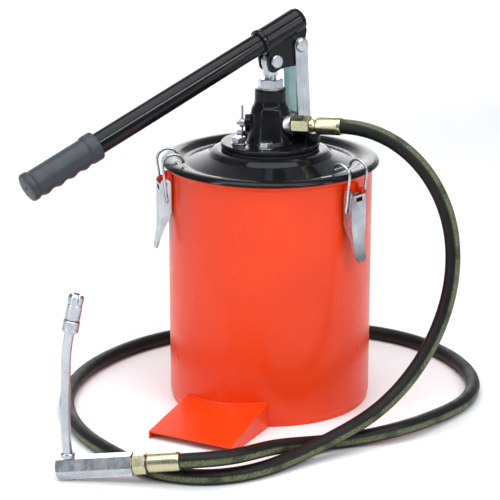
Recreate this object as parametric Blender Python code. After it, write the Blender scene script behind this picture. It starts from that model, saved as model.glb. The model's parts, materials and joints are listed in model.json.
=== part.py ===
"""Lever-operated bucket grease pump: bucket, clamped lid, pump head, lever, hose and spigot.

Metres, +Z up. The origin is the centre of the bucket's base. The lever swings in the XZ plane,
with its handle towards -X and its swing links on the +X side of the pump.
"""
import bpy
import bmesh
import math
import numpy as np
from mathutils import Matrix, Vector

for old in list(bpy.data.objects):
    bpy.data.objects.remove(old, do_unlink=True)

# ---------------------------------------------------------------- driving dimensions
GAP = 0.0003

SHELL_R = 0.105
SHELL_WALL = 0.0012
SHELL_TOP = 0.2536
BASE_R = 0.0990
BASE_T = 0.0020

FOOT_ANGLE = math.radians(209.6)
FOOT_HALF_W = 0.0466
FOOT_REAR = 0.0860
FOOT_FRONT = 0.1750
FOOT_REAR_Z_RIGHT = 0.0295
FOOT_REAR_Z_LEFT = 0.0205
FOOT_FRONT_Z = 0.0082
FOOT_T = 0.0015

LID_R = 0.1122
PLATEAU_Z = 0.2665
PLATEAU_R = 0.0550

FLANGE_R = 0.0505
FLANGE_Z = 0.2685
FLANGE_T = 0.0050
BOLT_PITCH_R = 0.0345
BOLT_ANGLES = (49.0, 109.0, 169.0, 229.0)
BOLT_HOLE_R = 0.0034
BODY_TOP = 0.3285
ROD_R = 0.0060
TUBE_R = 0.0165
TUBE_BORE = 0.0148

OUTLET_ANGLE = math.radians(-58.0)
OUTLET_TILT = math.radians(3.5)
OUTLET_Z = 0.2915
BLEED_ANGLE = math.radians(147.0)
BLEED_Z = 0.2927

FULCRUM = (0.0298, 0.3718)
PLUNGER_PIN = (0.0006, 0.3575)
LINK_PIN = (0.0345, 0.2910)
LEVER_SLOPE = math.radians(23.0)
LEVER_AXIS_Z0 = 0.3818
CHEEK_IN = 0.0063
CHEEK_OUT = 0.0093
LINK_IN = 0.0096
LINK_OUT = 0.0121
LINK_HALF_W = 0.0076

HOSE_R = 0.0075
LATCH_ANGLES = (-75.0, 43.0, 162.0)
LATCH_P1 = (0.1125, 0.2375)
LATCH_P2 = (0.1115, 0.2195)
WIRE_R = 0.0014

HOSE_ROUTE = [
    (0.0422, -0.0675, 0.2964),
    (0.0686, -0.1109, 0.2882),
    (0.0890, -0.1476, 0.2575),
    (0.0984, -0.1713, 0.2138),
    (0.0957, -0.1825, 0.1634),
    (0.0808, -0.1835, 0.1121),
    (0.0533, -0.1797, 0.0672),
    (0.0133, -0.1782, 0.0363),
    (-0.0355, -0.1814, 0.0215),
    (-0.0836, -0.1822, 0.0115),
    (-0.1389, -0.1852, 0.0078),
    (-0.1864, -0.1717, 0.0078),
    (-0.2178, -0.1376, 0.0078),
    (-0.2305, -0.0856, 0.0078),
    (-0.2335, -0.0312, 0.0078),
    (-0.2253, 0.0208, 0.0078),
    (-0.2065, 0.0690, 0.0078),
    (-0.1767, 0.1112, 0.0078),
    (-0.1372, 0.1455, 0.0078),
    (-0.0900, 0.1697, 0.0078),
    (-0.0380, 0.1825, 0.0078),
    (0.0131, 0.1813, 0.0078),
    (0.0623, 0.1666, 0.0078),
    (0.1098, 0.1429, 0.0078),
    (0.1528, 0.1117, 0.0078),
    (0.1870, 0.0729, 0.0078),
    (0.2081, 0.0264, 0.0078),
    (0.2134, -0.0255, 0.0078),
    (0.2033, -0.0771, 0.0078),
    (0.1785, -0.1222, 0.0078),
    (0.1391, -0.1550, 0.0080),
    (0.0856, -0.1747, 0.0098),
    (0.0303, -0.1854, 0.0122),
    (-0.0146, -0.1739, 0.0084),
    (-0.0665, -0.1626, 0.0106),
    (-0.1207, -0.1766, 0.0230),
    (-0.1652, -0.1833, 0.0276),
    (-0.2086, -0.1636, 0.0262),
]

SPIGOT_START = Vector((-0.2086, -0.1636, 0.0262))
SPIGOT_END = Vector((-0.2964, -0.0827, 0.0108))
SPIGOT_TUBE = [
    (-0.2895, -0.0911, 0.0232),
    (-0.2903, -0.0906, 0.0400),
    (-0.2905, -0.0906, 0.0560),
    (-0.2900, -0.0909, 0.0812),
    (-0.2893, -0.0914, 0.1012),
    (-0.2886, -0.0918, 0.1211),
    (-0.2873, -0.0926, 0.1349),
    (-0.2853, -0.0940, 0.1478),
    (-0.2836, -0.0951, 0.1570),
]
COUPLER_FROM = Vector((-0.2838, -0.0949, 0.1560))
COUPLER_DIR = Vector((0.0052, -0.0034, 0.0300)).normalized()

# ---------------------------------------------------------------- materials
PALETTE = {
    "orange": ((0.86, 0.07, 0.012, 1.0), 0.30, 0.0),
    "black_gloss": ((0.010, 0.010, 0.012, 1.0), 0.22, 0.0),
    "zinc": ((0.66, 0.68, 0.70, 1.0), 0.32, 1.0),
    "yellow_zinc": ((0.72, 0.64, 0.38, 1.0), 0.32, 1.0),
    "steel": ((0.45, 0.46, 0.48, 1.0), 0.35, 1.0),
    "rubber": ((0.020, 0.021, 0.022, 1.0), 0.55, 0.0),
    "grip": ((0.045, 0.050, 0.058, 1.0), 0.60, 0.0),
    "brass": ((0.70, 0.50, 0.18, 1.0), 0.35, 1.0),
}


def make_material(name, look):
    colour, rough, metal = PALETTE[look]
    mat = bpy.data.materials.new("mat_" + name)
    mat.use_nodes = True
    shader = mat.node_tree.nodes["Principled BSDF"]
    shader.inputs["Base Color"].default_value = colour
    shader.inputs["Roughness"].default_value = rough
    shader.inputs["Metallic"].default_value = metal
    mat.diffuse_color = colour
    return mat


# ---------------------------------------------------------------- geometry helpers
def finish(name, bm, look, smooth=True, origin=None, matrix=None):
    """Turn a bmesh into a named object, in world place, with its origin on a pivot."""
    if matrix is not None:
        bmesh.ops.transform(bm, matrix=matrix, verts=bm.verts)
    pivot = Vector(origin) if origin is not None else Vector((0.0, 0.0, 0.0))
    bmesh.ops.translate(bm, vec=-pivot, verts=bm.verts)
    bmesh.ops.recalc_face_normals(bm, faces=bm.faces)
    mesh = bpy.data.meshes.new(name)
    bm.to_mesh(mesh)
    bm.free()
    obj = bpy.data.objects.new(name, mesh)
    obj.location = pivot
    bpy.context.collection.objects.link(obj)
    if look is not None:
        mesh.materials.append(make_material(name, look))
    if smooth:
        mesh.shade_smooth()
        mesh.set_sharp_from_angle(angle=math.radians(35.0))
    return obj


def lathe_bm(profile, steps=48):
    """Revolve a closed (r, z) outline about Z. Points with r = 0 become poles."""
    bm = bmesh.new()
    rings = []
    for r, z in profile:
        if r < 1e-7:
            rings.append([bm.verts.new((0.0, 0.0, z))])
        else:
            ring = []
            for i in range(steps):
                a = 2.0 * math.pi * i / steps
                ring.append(bm.verts.new((r * math.cos(a), r * math.sin(a), z)))
            rings.append(ring)
    count = len(rings)
    for k in range(count):
        lower = rings[k]
        upper = rings[(k + 1) % count]
        if len(lower) == 1 and len(upper) == 1:
            continue
        for i in range(steps):
            j = (i + 1) % steps
            if len(lower) == 1:
                bm.faces.new((lower[0], upper[j], upper[i]))
            elif len(upper) == 1:
                bm.faces.new((lower[i], lower[j], upper[0]))
            else:
                bm.faces.new((lower[i], lower[j], upper[j], upper[i]))
    return bm


def rod_bm(radius, length, steps=24, chamfer=0.0):
    """Solid round bar along +Z from the origin, with optional end chamfers."""
    c = chamfer
    if c > 0.0:
        profile = [(0.0, 0.0), (radius - c, 0.0), (radius, c), (radius, length - c),
                   (radius - c, length), (0.0, length)]
    else:
        profile = [(0.0, 0.0), (radius, 0.0), (radius, length), (0.0, length)]
    return lathe_bm(profile, steps)


def ring_bm(r_in, r_out, length, steps=32):
    return lathe_bm([(r_in, 0.0), (r_out, 0.0), (r_out, length), (r_in, length)], steps)


def prism_bm(outline, low, high):
    """Extrude a closed XY outline along Z between two heights."""
    bm = bmesh.new()
    bottom = [bm.verts.new((x, y, low)) for x, y in outline]
    top = [bm.verts.new((x, y, high)) for x, y in outline]
    count = len(outline)
    bm.faces.new(list(reversed(bottom)))
    bm.faces.new(top)
    for i in range(count):
        j = (i + 1) % count
        bm.faces.new((bottom[i], bottom[j], top[j], top[i]))
    return bm


def loft_bm(rings):
    """Closed body through a list of equal point rings."""
    bm = bmesh.new()
    made = [[bm.verts.new(p) for p in ring] for ring in rings]
    bm.faces.new(list(reversed(made[0])))
    bm.faces.new(made[-1])
    for lower, upper in zip(made[:-1], made[1:]):
        for i in range(len(lower)):
            j = (i + 1) % len(lower)
            bm.faces.new((lower[i], lower[j], upper[j], upper[i]))
    return bm


def box_loft_bm(sections):
    """Rectangles stacked along Z, each a (height, low X, high X, half width) tuple."""
    return loft_bm([[(x0, -w, z), (x1, -w, z), (x1, w, z), (x0, w, z)] for z, x0, x1, w in sections])


def hex_outline(across_flats, turn=0.0):
    r = across_flats / 2.0 / math.cos(math.pi / 6.0)
    return [(r * math.cos(turn + math.pi / 3.0 * i), r * math.sin(turn + math.pi / 3.0 * i))
            for i in range(6)]


def tube_along(points, radius, steps=12):
    """Closed round bar swept through a list of points."""
    bm = bmesh.new()
    pts = [Vector(p) for p in points]
    rings = []
    side = None
    for i, p in enumerate(pts):
        if i == 0:
            d = pts[1] - pts[0]
        elif i == len(pts) - 1:
            d = pts[-1] - pts[-2]
        else:
            d = (pts[i + 1] - p).normalized() + (p - pts[i - 1]).normalized()
        d.normalize()
        if side is None:
            ref = Vector((0.0, 0.0, 1.0)) if abs(d.z) < 0.9 else Vector((1.0, 0.0, 0.0))
            side = d.cross(ref).normalized()
        side = (side - d * side.dot(d)).normalized()
        other = d.cross(side)
        ring = []
        for k in range(steps):
            a = 2.0 * math.pi * k / steps
            ring.append(bm.verts.new(p + (side * math.cos(a) + other * math.sin(a)) * radius))
        rings.append(ring)
    bm.faces.new(list(reversed(rings[0])))
    bm.faces.new(rings[-1])
    for lower, upper in zip(rings[:-1], rings[1:]):
        for k in range(steps):
            j = (k + 1) % steps
            bm.faces.new((lower[k], lower[j], upper[j], upper[k]))
    return bm


def aim(start, direction):
    """Matrix that carries +Z from the origin onto a direction from a start point."""
    turn = Vector(direction).normalized().to_track_quat("Z", "Y").to_matrix().to_4x4()
    return Matrix.Translation(Vector(start)) @ turn


def cut(obj, name, bm, operation="DIFFERENCE", matrix=None):
    """Add a live Boolean with a hidden cutter in the same world frame."""
    cutter = finish(name, bm, None, smooth=False, matrix=matrix)
    cutter.hide_render = True
    cutter.display_type = "WIRE"
    mod = obj.modifiers.new(name, "BOOLEAN")
    mod.operation = operation
    mod.solver = "EXACT"
    mod.object = cutter
    return cutter


def smooth_path(points, spacing, start=None, end=None):
    """Evenly spaced points on a clamped cubic spline through a route list."""
    pts = np.array(points, dtype=float)
    n = len(pts)
    h = np.linalg.norm(np.diff(pts, axis=0), axis=1)
    chord = np.diff(pts, axis=0) / h[:, None]
    first = chord[0] if start is None else np.array(start, dtype=float)
    last = chord[-1] if end is None else np.array(end, dtype=float)
    system = np.zeros((n, n))
    right = np.zeros((n, 3))
    system[0, 0] = 1.0
    right[0] = first / np.linalg.norm(first)
    system[-1, -1] = 1.0
    right[-1] = last / np.linalg.norm(last)
    for i in range(1, n - 1):
        system[i, i - 1] = h[i]
        system[i, i] = 2.0 * (h[i - 1] + h[i])
        system[i, i + 1] = h[i - 1]
        right[i] = 3.0 * (h[i] * chord[i - 1] + h[i - 1] * chord[i])
    slope = np.linalg.solve(system, right)
    fine = []
    for i in range(n - 1):
        for t in np.linspace(0.0, 1.0, 16, endpoint=False):
            fine.append(pts[i] * (2 * t ** 3 - 3 * t ** 2 + 1) + slope[i] * h[i] * (t ** 3 - 2 * t ** 2 + t)
                        + pts[i + 1] * (3 * t ** 2 - 2 * t ** 3) + slope[i + 1] * h[i] * (t ** 3 - t ** 2))
    fine.append(pts[-1])
    fine = np.array(fine)
    run = np.concatenate([[0.0], np.cumsum(np.linalg.norm(np.diff(fine, axis=0), axis=1))])
    count = max(2, round(run[-1] / spacing))
    places = np.linspace(0.0, run[-1], count + 1)
    return [Vector([np.interp(place, run, fine[:, k]) for k in range(3)]) for place in places]


# ---------------------------------------------------------------- bucket
shell_profile = [
    (0.0993, 0.0), (0.1035, 0.0), (0.1037, 0.0050), (SHELL_R, 0.0080),
    (SHELL_R, 0.2478), (0.1066, 0.2484), (0.1082, 0.2500), (0.1086, 0.2518),
    (0.1078, 0.2532), (0.1062, SHELL_TOP), (0.1046, 0.2530),
    (SHELL_R - SHELL_WALL, 0.2512), (SHELL_R - SHELL_WALL, 0.0086), (0.1024, 0.0058), (0.0993, 0.0046),
]
finish("bucket_shell", lathe_bm(shell_profile, 56), "orange")
finish("bucket_base", rod_bm(BASE_R, BASE_T, 56), "orange")

# footplate: a sloping top with both sides folded down, its rear edge fitted to the shell
stations = []
for i in range(5):
    t = i / 4.0
    reach = FOOT_REAR + (FOOT_FRONT - FOOT_REAR) * t
    left_z = FOOT_REAR_Z_LEFT + (FOOT_FRONT_Z - FOOT_REAR_Z_LEFT) * t
    right_z = FOOT_REAR_Z_RIGHT + (FOOT_FRONT_Z - FOOT_REAR_Z_RIGHT) * t
    outer = []
    inner = []
    for k in range(5):
        height = left_z + (right_z - left_z) * k / 4.0
        outer.append((reach, FOOT_HALF_W * (k / 2.0 - 1.0), height))
        inner.append((reach, (FOOT_HALF_W - FOOT_T) * (1.0 - k / 2.0), right_z + left_z - height - FOOT_T))
    stations.append([(reach, -FOOT_HALF_W, 0.0006)] + outer + [(reach, FOOT_HALF_W, 0.0006)]
                    + [(reach, FOOT_HALF_W - FOOT_T, 0.0006)] + inner + [(reach, FOOT_T - FOOT_HALF_W, 0.0006)])
plate_bm = loft_bm(stations)
bmesh.ops.triangulate(plate_bm, faces=plate_bm.faces)
footplate = finish("footplate", plate_bm, "orange", smooth=False, matrix=Matrix.Rotation(FOOT_ANGLE, 4, "Z"))
cut(footplate, "cut_footplate_rear", rod_bm(SHELL_R + GAP, 0.08, 56),
    matrix=Matrix.Translation((0.0, 0.0, -0.02)))

# ---------------------------------------------------------------- lid
lid_profile = [(0.0178, PLATEAU_Z), (PLATEAU_R, PLATEAU_Z), (0.0590, 0.2652), (0.0640, 0.2608),
               (0.0860, 0.2532), (0.0900, 0.2534), (0.0970, 0.2572), (0.1010, 0.2584),
               (0.1045, 0.2586), (0.1080, 0.2580), (0.1110, 0.2564), (LID_R, 0.2534),
               (0.1108, 0.2534), (0.1098, 0.2557), (0.1076, 0.2568), (0.1012, 0.2572),
               (0.0976, 0.2561), (0.0903, 0.2522), (0.0858, 0.2520), (0.0633, 0.2597),
               (0.0582, 0.2641), (0.0546, 0.2653), (0.0178, 0.2653)]
lid = finish("lid", lathe_bm(lid_profile, 56), "black_gloss")
bolt_cutter = bmesh.new()
for degrees in BOLT_ANGLES:
    a = math.radians(degrees)
    hole = rod_bm(BOLT_HOLE_R, 0.04, 12)
    spot = Matrix.Translation((BOLT_PITCH_R * math.cos(a), BOLT_PITCH_R * math.sin(a), 0.245))
    bmesh.ops.transform(hole, matrix=spot, verts=hole.verts)
    temp = bpy.data.meshes.new("hole")
    hole.to_mesh(temp)
    hole.free()
    bolt_cutter.from_mesh(temp)
    bpy.data.meshes.remove(temp)
bolt_holes = cut(lid, "cut_bolt_holes", bolt_cutter)
gasket_profile = [(0.1035, 0.2540), (0.1078, 0.2540), (0.1078, 0.2562), (0.1035, 0.2569)]
finish("lid_gasket", lathe_bm(gasket_profile, 56), "rubber")

# ---------------------------------------------------------------- pump body and what clamps it
body_profile = [
    (TUBE_R + GAP, FLANGE_Z), (FLANGE_R - 0.0006, FLANGE_Z), (FLANGE_R, FLANGE_Z + 0.0006),
    (FLANGE_R, FLANGE_Z + FLANGE_T - 0.0010), (FLANGE_R - 0.0010, FLANGE_Z + FLANGE_T),
    (0.0262, FLANGE_Z + FLANGE_T), (0.0240, 0.2750), (0.0226, 0.2800), (0.0212, 0.2920),
    (0.0202, 0.3040), (0.0190, 0.3092), (0.0170, 0.3120), (0.0162, 0.3160),
    (0.0160, BODY_TOP), (0.0095, BODY_TOP), (0.0095, 0.3160), (ROD_R + 0.0004, 0.3160),
    (ROD_R + 0.0004, 0.2850), (TUBE_R + GAP, 0.2850),
]
pump_body = finish("pump_body", lathe_bm(body_profile, 32), "black_gloss")
outlet_dir = Vector((math.cos(OUTLET_ANGLE) * math.cos(OUTLET_TILT),
                     math.sin(OUTLET_ANGLE) * math.cos(OUTLET_TILT), math.sin(OUTLET_TILT)))
outlet_foot = Vector((0.0, 0.0, OUTLET_Z))
bleed_dir = Vector((math.cos(BLEED_ANGLE), math.sin(BLEED_ANGLE), 0.0))
bleed_foot = Vector((0.0, 0.0, BLEED_Z))
cut(pump_body, "add_outlet_boss", rod_bm(0.0125, 0.0064, 32, 0.0008), "UNION",
    aim(outlet_foot + outlet_dir * 0.0118, outlet_dir))
cut(pump_body, "add_bleed_boss", rod_bm(0.0088, 0.0130, 24, 0.0008), "UNION",
    aim(bleed_foot + bleed_dir * 0.0130, bleed_dir))
lug_outline = [(0.0150, 0.2700), (0.0418, 0.2700), (0.0418, LINK_PIN[1])]
for i in range(1, 8):
    a = math.pi * i / 16.0
    lug_outline.append((LINK_PIN[0] + 0.0073 * math.cos(a), LINK_PIN[1] + 0.0073 * math.sin(a)))
lug_outline += [(LINK_PIN[0], LINK_PIN[1] + 0.0073), (0.0150, 0.2990)]
lug_turn = Matrix(((1.0, 0.0, 0.0, 0.0), (0.0, 0.0, -1.0, 0.0), (0.0, 1.0, 0.0, 0.0), (0.0, 0.0, 0.0, 1.0)))
cut(pump_body, "add_link_lug", prism_bm(lug_outline, -CHEEK_OUT, CHEEK_OUT), "UNION", lug_turn)
cut(pump_body, "add_side_boss", rod_bm(0.0100, 0.0123, 24, 0.0010), "UNION",
    Matrix.Translation((0.0356, -0.0213, 0.2702)))
cut(pump_body, "cut_tube_socket", rod_bm(TUBE_R + 2.0 * GAP, 0.0251, 32), "DIFFERENCE",
    Matrix.Translation((0.0, 0.0, 0.2600)))
cut(pump_body, "cut_link_bore", rod_bm(0.0043, 0.04, 24), "DIFFERENCE",
    aim((LINK_PIN[0], 0.02, LINK_PIN[1]), (0.0, -1.0, 0.0)))
cut(pump_body, "cut_outlet_seat", rod_bm(0.0114, 0.0200, 32), "DIFFERENCE",
    aim(outlet_foot + outlet_dir * 0.0182, outlet_dir))
cut(pump_body, "cut_outlet_port", rod_bm(0.0050, 0.020, 24), "DIFFERENCE",
    aim(outlet_foot + outlet_dir * 0.0030, outlet_dir))
cut(pump_body, "cut_bleed_port", rod_bm(0.0026, 0.024, 16), "DIFFERENCE",
    aim(bleed_foot + bleed_dir * 0.0030, bleed_dir))
mod = pump_body.modifiers.new("bolt_holes", "BOOLEAN")
mod.operation = "DIFFERENCE"
mod.solver = "EXACT"
mod.object = bolt_holes

gasket = finish("flange_gasket", ring_bm(0.0182, 0.0500, 0.0014),
                "rubber", matrix=Matrix.Translation((0.0, 0.0, PLATEAU_Z + GAP)))
mod = gasket.modifiers.new("bolt_holes", "BOOLEAN")
mod.operation = "DIFFERENCE"
mod.solver = "EXACT"
mod.object = bolt_holes
backing = finish("backing_ring", ring_bm(0.0185, 0.0450, 0.0040),
                 "steel", matrix=Matrix.Translation((0.0, 0.0, 0.2610)))
mod = backing.modifiers.new("bolt_holes", "BOOLEAN")
mod.operation = "DIFFERENCE"
mod.solver = "EXACT"
mod.object = bolt_holes

for number, degrees in enumerate(BOLT_ANGLES, start=1):
    a = math.radians(degrees)
    bolt = prism_bm(hex_outline(0.013), FLANGE_Z + FLANGE_T + GAP, FLANGE_Z + FLANGE_T + 0.0070)
    bolt_name = "flange_bolt_" + str(number)
    bolt_obj = finish(bolt_name, bolt, "zinc", smooth=False,
                      matrix=Matrix.Translation((BOLT_PITCH_R * math.cos(a), BOLT_PITCH_R * math.sin(a), 0.0)))
    cut(bolt_obj, "add_shank_" + str(number), rod_bm(0.0030, 0.0190, 16), "UNION",
        Matrix.Translation((BOLT_PITCH_R * math.cos(a), BOLT_PITCH_R * math.sin(a), 0.2560)))

nut_profile = [(ROD_R + 0.0004, 0.3222), (0.0090, 0.3222), (0.0090, BODY_TOP + GAP),
               (0.0128, BODY_TOP + GAP), (0.0128, 0.3382), (0.0112, 0.3388), (ROD_R + 0.0004, 0.3388)]
gland_nut = finish("gland_nut", lathe_bm(nut_profile, 32), "zinc")
cut(gland_nut, "keep_gland_hex", prism_bm(hex_outline(0.0235, 0.2), 0.3200, 0.3420), "INTERSECT")
finish("gland_packing", ring_bm(ROD_R + 0.0003, 0.0092, 0.0055), "rubber",
       matrix=Matrix.Translation((0.0, 0.0, 0.3163)))

# ---------------------------------------------------------------- pump internals
finish("suction_tube", ring_bm(TUBE_BORE, TUBE_R, 0.2690), "steel",
       matrix=Matrix.Translation((0.0, 0.0, 0.0155)))
valve_profile = [(0.0040, 0.0180), (0.0145, 0.0180), (0.0145, 0.0260), (0.0078, 0.0260), (0.0040, 0.0222)]
finish("foot_valve_seat", lathe_bm(valve_profile, 32), "steel")
ball = bmesh.new()
bmesh.ops.create_uvsphere(ball, u_segments=16, v_segments=10, radius=0.0060)
finish("foot_valve_ball", ball, "steel", origin=(0.0, 0.0, 0.0271),
       matrix=Matrix.Translation((0.0, 0.0, 0.0271)))
finish("piston", rod_bm(TUBE_BORE - GAP, 0.0140, 32, 0.0010), "steel",
       matrix=Matrix.Translation((0.0, 0.0, 0.0500)))
plunger = finish("plunger_rod", rod_bm(ROD_R, 0.2782, 32, 0.0006), "zinc",
                 matrix=Matrix.Translation((0.0, 0.0, 0.0643)))
eye_outline = []
for i in range(25):
    a = math.pi * i / 24.0
    eye_outline.append((0.0080 * math.cos(a), 0.3575 + 0.0080 * math.sin(a)))
eye_outline += [(-0.0080, 0.3540), (-0.0056, 0.3470), (-0.0054, 0.3412), (0.0054, 0.3412),
                (0.0056, 0.3470), (0.0080, 0.3540)]
cut(plunger, "add_plunger_eye", prism_bm(eye_outline, -0.0050, 0.0050), "UNION", lug_turn)
cut(plunger, "cut_plunger_eye", rod_bm(0.0061, 0.03, 24), "DIFFERENCE",
    aim((0.0, 0.015, 0.3575), (0.0, -1.0, 0.0)))
finish("follower_plate", ring_bm(TUBE_R + 0.0012, 0.0960, 0.0020, 40), "steel",
       matrix=Matrix.Translation((0.0, 0.0, 0.2030)))
finish("follower_wiper", lathe_bm([(0.0900, 0.2056), (0.1020, 0.2056), (0.1033, 0.2110),
                                   (0.1010, 0.2110), (0.0990, 0.2080), (0.0900, 0.2076)], 48), "rubber")

# ---------------------------------------------------------------- bleed screw
screw_profile = [(0.0, 0.0080), (0.0022, 0.0080), (0.0022, 0.0262), (0.0045, 0.0264), (0.0045, 0.0308),
                 (0.0030, 0.0316), (0.0018, 0.0318), (0.0018, 0.0345), (0.0, 0.0345)]
bleed = finish("bleed_screw", lathe_bm(screw_profile, 24), "zinc", origin=bleed_foot + bleed_dir * 0.028,
               matrix=aim(bleed_foot, bleed_dir))
cut(bleed, "cut_bleed_hole", rod_bm(0.0014, 0.02, 12), "DIFFERENCE",
    Matrix.Translation(bleed_foot + bleed_dir * 0.0286 - Vector((0.0, 0.0, 0.010))))
finish("bleed_bar", rod_bm(0.0011, 0.0330, 12, 0.0003), "steel", origin=bleed_foot + bleed_dir * 0.028,
       matrix=Matrix.Translation(bleed_foot + bleed_dir * 0.0286 - Vector((0.0, 0.0, 0.0150))))

# ---------------------------------------------------------------- outlet fittings
finish("outlet_collar", ring_bm(0.0052, 0.0110, 0.0073, 32), "zinc",
       matrix=aim(outlet_foot + outlet_dir * 0.0185, outlet_dir))
finish("hose_nut", prism_bm(hex_outline(0.0172, 0.5), 0.0, 0.0194), "yellow_zinc", smooth=False,
       matrix=aim(outlet_foot + outlet_dir * 0.0261, outlet_dir))
neck_profile = [(0.0, 0.0458), (0.0072, 0.0458), (0.0068, 0.0520), (0.0088, 0.0528), (0.0092, 0.0550),
                (0.0092, 0.0770), (0.0085, 0.0795), (0.0, 0.0795)]
finish("hose_ferrule_pump", lathe_bm(neck_profile, 24), "yellow_zinc", matrix=aim(outlet_foot, outlet_dir))

# ---------------------------------------------------------------- hose
spigot_axis = (SPIGOT_END - SPIGOT_START).normalized()
hose_points = smooth_path(HOSE_ROUTE, 0.0248, outlet_dir, spigot_axis)
hose_points.insert(1, hose_points[0] + outlet_dir * 0.0040)
hose_points.insert(-1, hose_points[-1] - spigot_axis * 0.0040)
curve = bpy.data.curves.new("hose", "CURVE")
curve.dimensions = "3D"
curve.bevel_depth = HOSE_R
curve.bevel_resolution = 2
curve.use_fill_caps = True
spline = curve.splines.new("POLY")
spline.points.add(len(hose_points) - 1)
for point, place in zip(spline.points, hose_points):
    point.co = (place.x, place.y, place.z, 1.0)
curve.materials.append(make_material("hose", "rubber"))
hose = bpy.data.objects.new("hose", curve)
bpy.context.collection.objects.link(hose)

# ---------------------------------------------------------------- spigot
spigot_len = (SPIGOT_END - SPIGOT_START).length
ferrule_profile = [(0.0, 0.0003), (0.0085, 0.0003), (0.0092, 0.0022), (0.0092, 0.0310), (0.0078, 0.0324),
                   (0.0, 0.0324)]
finish("hose_ferrule_spigot", lathe_bm(ferrule_profile, 24), "yellow_zinc", matrix=aim(SPIGOT_START, spigot_axis))
finish("spigot_nut", prism_bm(hex_outline(0.0185, 0.1), 0.0327, 0.0452), "yellow_zinc", smooth=False,
       matrix=aim(SPIGOT_START, spigot_axis))
finish("spigot_body", prism_bm(hex_outline(0.0200, 0.0), 0.0455, spigot_len), "zinc", smooth=False,
       matrix=aim(SPIGOT_START, spigot_axis))
collar_foot = Vector(SPIGOT_TUBE[0])
finish("spigot_collar", ring_bm(0.0052, 0.0068, 0.0045, 24), "zinc",
       matrix=Matrix.Translation(collar_foot + Vector((0.0, 0.0, 0.0006))))
finish("spigot_tube", tube_along(smooth_path(SPIGOT_TUBE, 0.010), 0.0046, 12), "zinc")
finish("coupler_collar", lathe_bm([(0.0050, 0.0), (0.0078, 0.0), (0.0078, 0.0120), (0.0050, 0.0120)], 24),
       "zinc", matrix=aim(COUPLER_FROM - COUPLER_DIR * 0.0070, COUPLER_DIR))
coupler_profile = [(0.0, 0.0055), (0.0070, 0.0055), (0.0072, 0.0065), (0.0072, 0.0290), (0.0062, 0.0305),
                   (0.0030, 0.0305), (0.0030, 0.0180), (0.0, 0.0180)]
finish("coupler_body", lathe_bm(coupler_profile, 24), "zinc", matrix=aim(COUPLER_FROM, COUPLER_DIR))

# ---------------------------------------------------------------- swing links
link_dx = FULCRUM[0] - LINK_PIN[0]
link_dz = FULCRUM[1] - LINK_PIN[1]
link_lean = math.atan2(link_dz, link_dx)
link_outline = []
for i in range(13):
    a = link_lean - math.pi / 2.0 + math.pi * i / 12.0
    link_outline.append((FULCRUM[0] + LINK_HALF_W * math.cos(a), FULCRUM[1] + LINK_HALF_W * math.sin(a)))
for i in range(13):
    a = link_lean + math.pi / 2.0 + math.pi * i / 12.0
    link_outline.append((LINK_PIN[0] + LINK_HALF_W * math.cos(a), LINK_PIN[1] + LINK_HALF_W * math.sin(a)))
LINK_PIVOT = (LINK_PIN[0], 0.0, LINK_PIN[1])
FULCRUM_PIVOT = (FULCRUM[0], 0.0, FULCRUM[1])
for side_name, low, high in (("link_front", LINK_IN, LINK_OUT), ("link_rear", -LINK_OUT, -LINK_IN)):
    link = finish(side_name, prism_bm(link_outline, low, high), "zinc", smooth=False,
                  origin=LINK_PIVOT, matrix=lug_turn)
    for pin_name, place in (("low", LINK_PIN), ("top", FULCRUM)):
        cut(link, "cut_" + side_name + "_" + pin_name, rod_bm(0.0043, 0.04, 24), "DIFFERENCE",
            aim((place[0], 0.02, place[1]), (0.0, -1.0, 0.0)))


def headed_pin(name, place, half, radius, head_r, head_t, look):
    """Round pin along Y with a head at each end, outside the plates it holds."""
    profile = [(0.0, -half - head_t), (head_r - 0.0008, -half - head_t), (head_r, -half - head_t + 0.0008),
               (head_r, -half), (radius, -half), (radius, half), (head_r, half),
               (head_r, half + head_t - 0.0008), (head_r - 0.0008, half + head_t), (0.0, half + head_t)]
    return finish(name, lathe_bm(profile, 24), look, origin=(place[0], 0.0, place[1]),
                  matrix=aim((place[0], 0.0, place[1]), (0.0, -1.0, 0.0)))


headed_pin("link_pin", LINK_PIN, LINK_OUT + GAP, 0.0040, 0.0062, 0.0028, "zinc")
headed_pin("fulcrum_bolt", FULCRUM, LINK_OUT + GAP, 0.0040, 0.0072, 0.0030, "zinc")

# ---------------------------------------------------------------- lever
lever_axis = Vector((math.cos(LEVER_SLOPE), 0.0, math.sin(LEVER_SLOPE)))
lever_normal = Vector((-math.sin(LEVER_SLOPE), 0.0, math.cos(LEVER_SLOPE)))
lever_zero = Vector((0.0, 0.0, LEVER_AXIS_Z0))
SOCKET_MOUTH = -0.0150
SOCKET_END = 0.0400
socket_profile = [(0.0, 0.0), (0.0138, 0.0), (0.0138, 0.0040), (0.0128, 0.0048), (0.0128, 0.0490),
                  (0.0118, 0.0530), (0.0095, 0.0550), (0.0, 0.0550)]
socket = finish("lever_socket", lathe_bm(socket_profile, 32), "black_gloss", origin=FULCRUM_PIVOT,
                matrix=aim(lever_zero + lever_axis * SOCKET_MOUTH, lever_axis))


def lever_point(along, below):
    p = lever_zero + lever_axis * along - lever_normal * below
    return (p.x, p.z)


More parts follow.
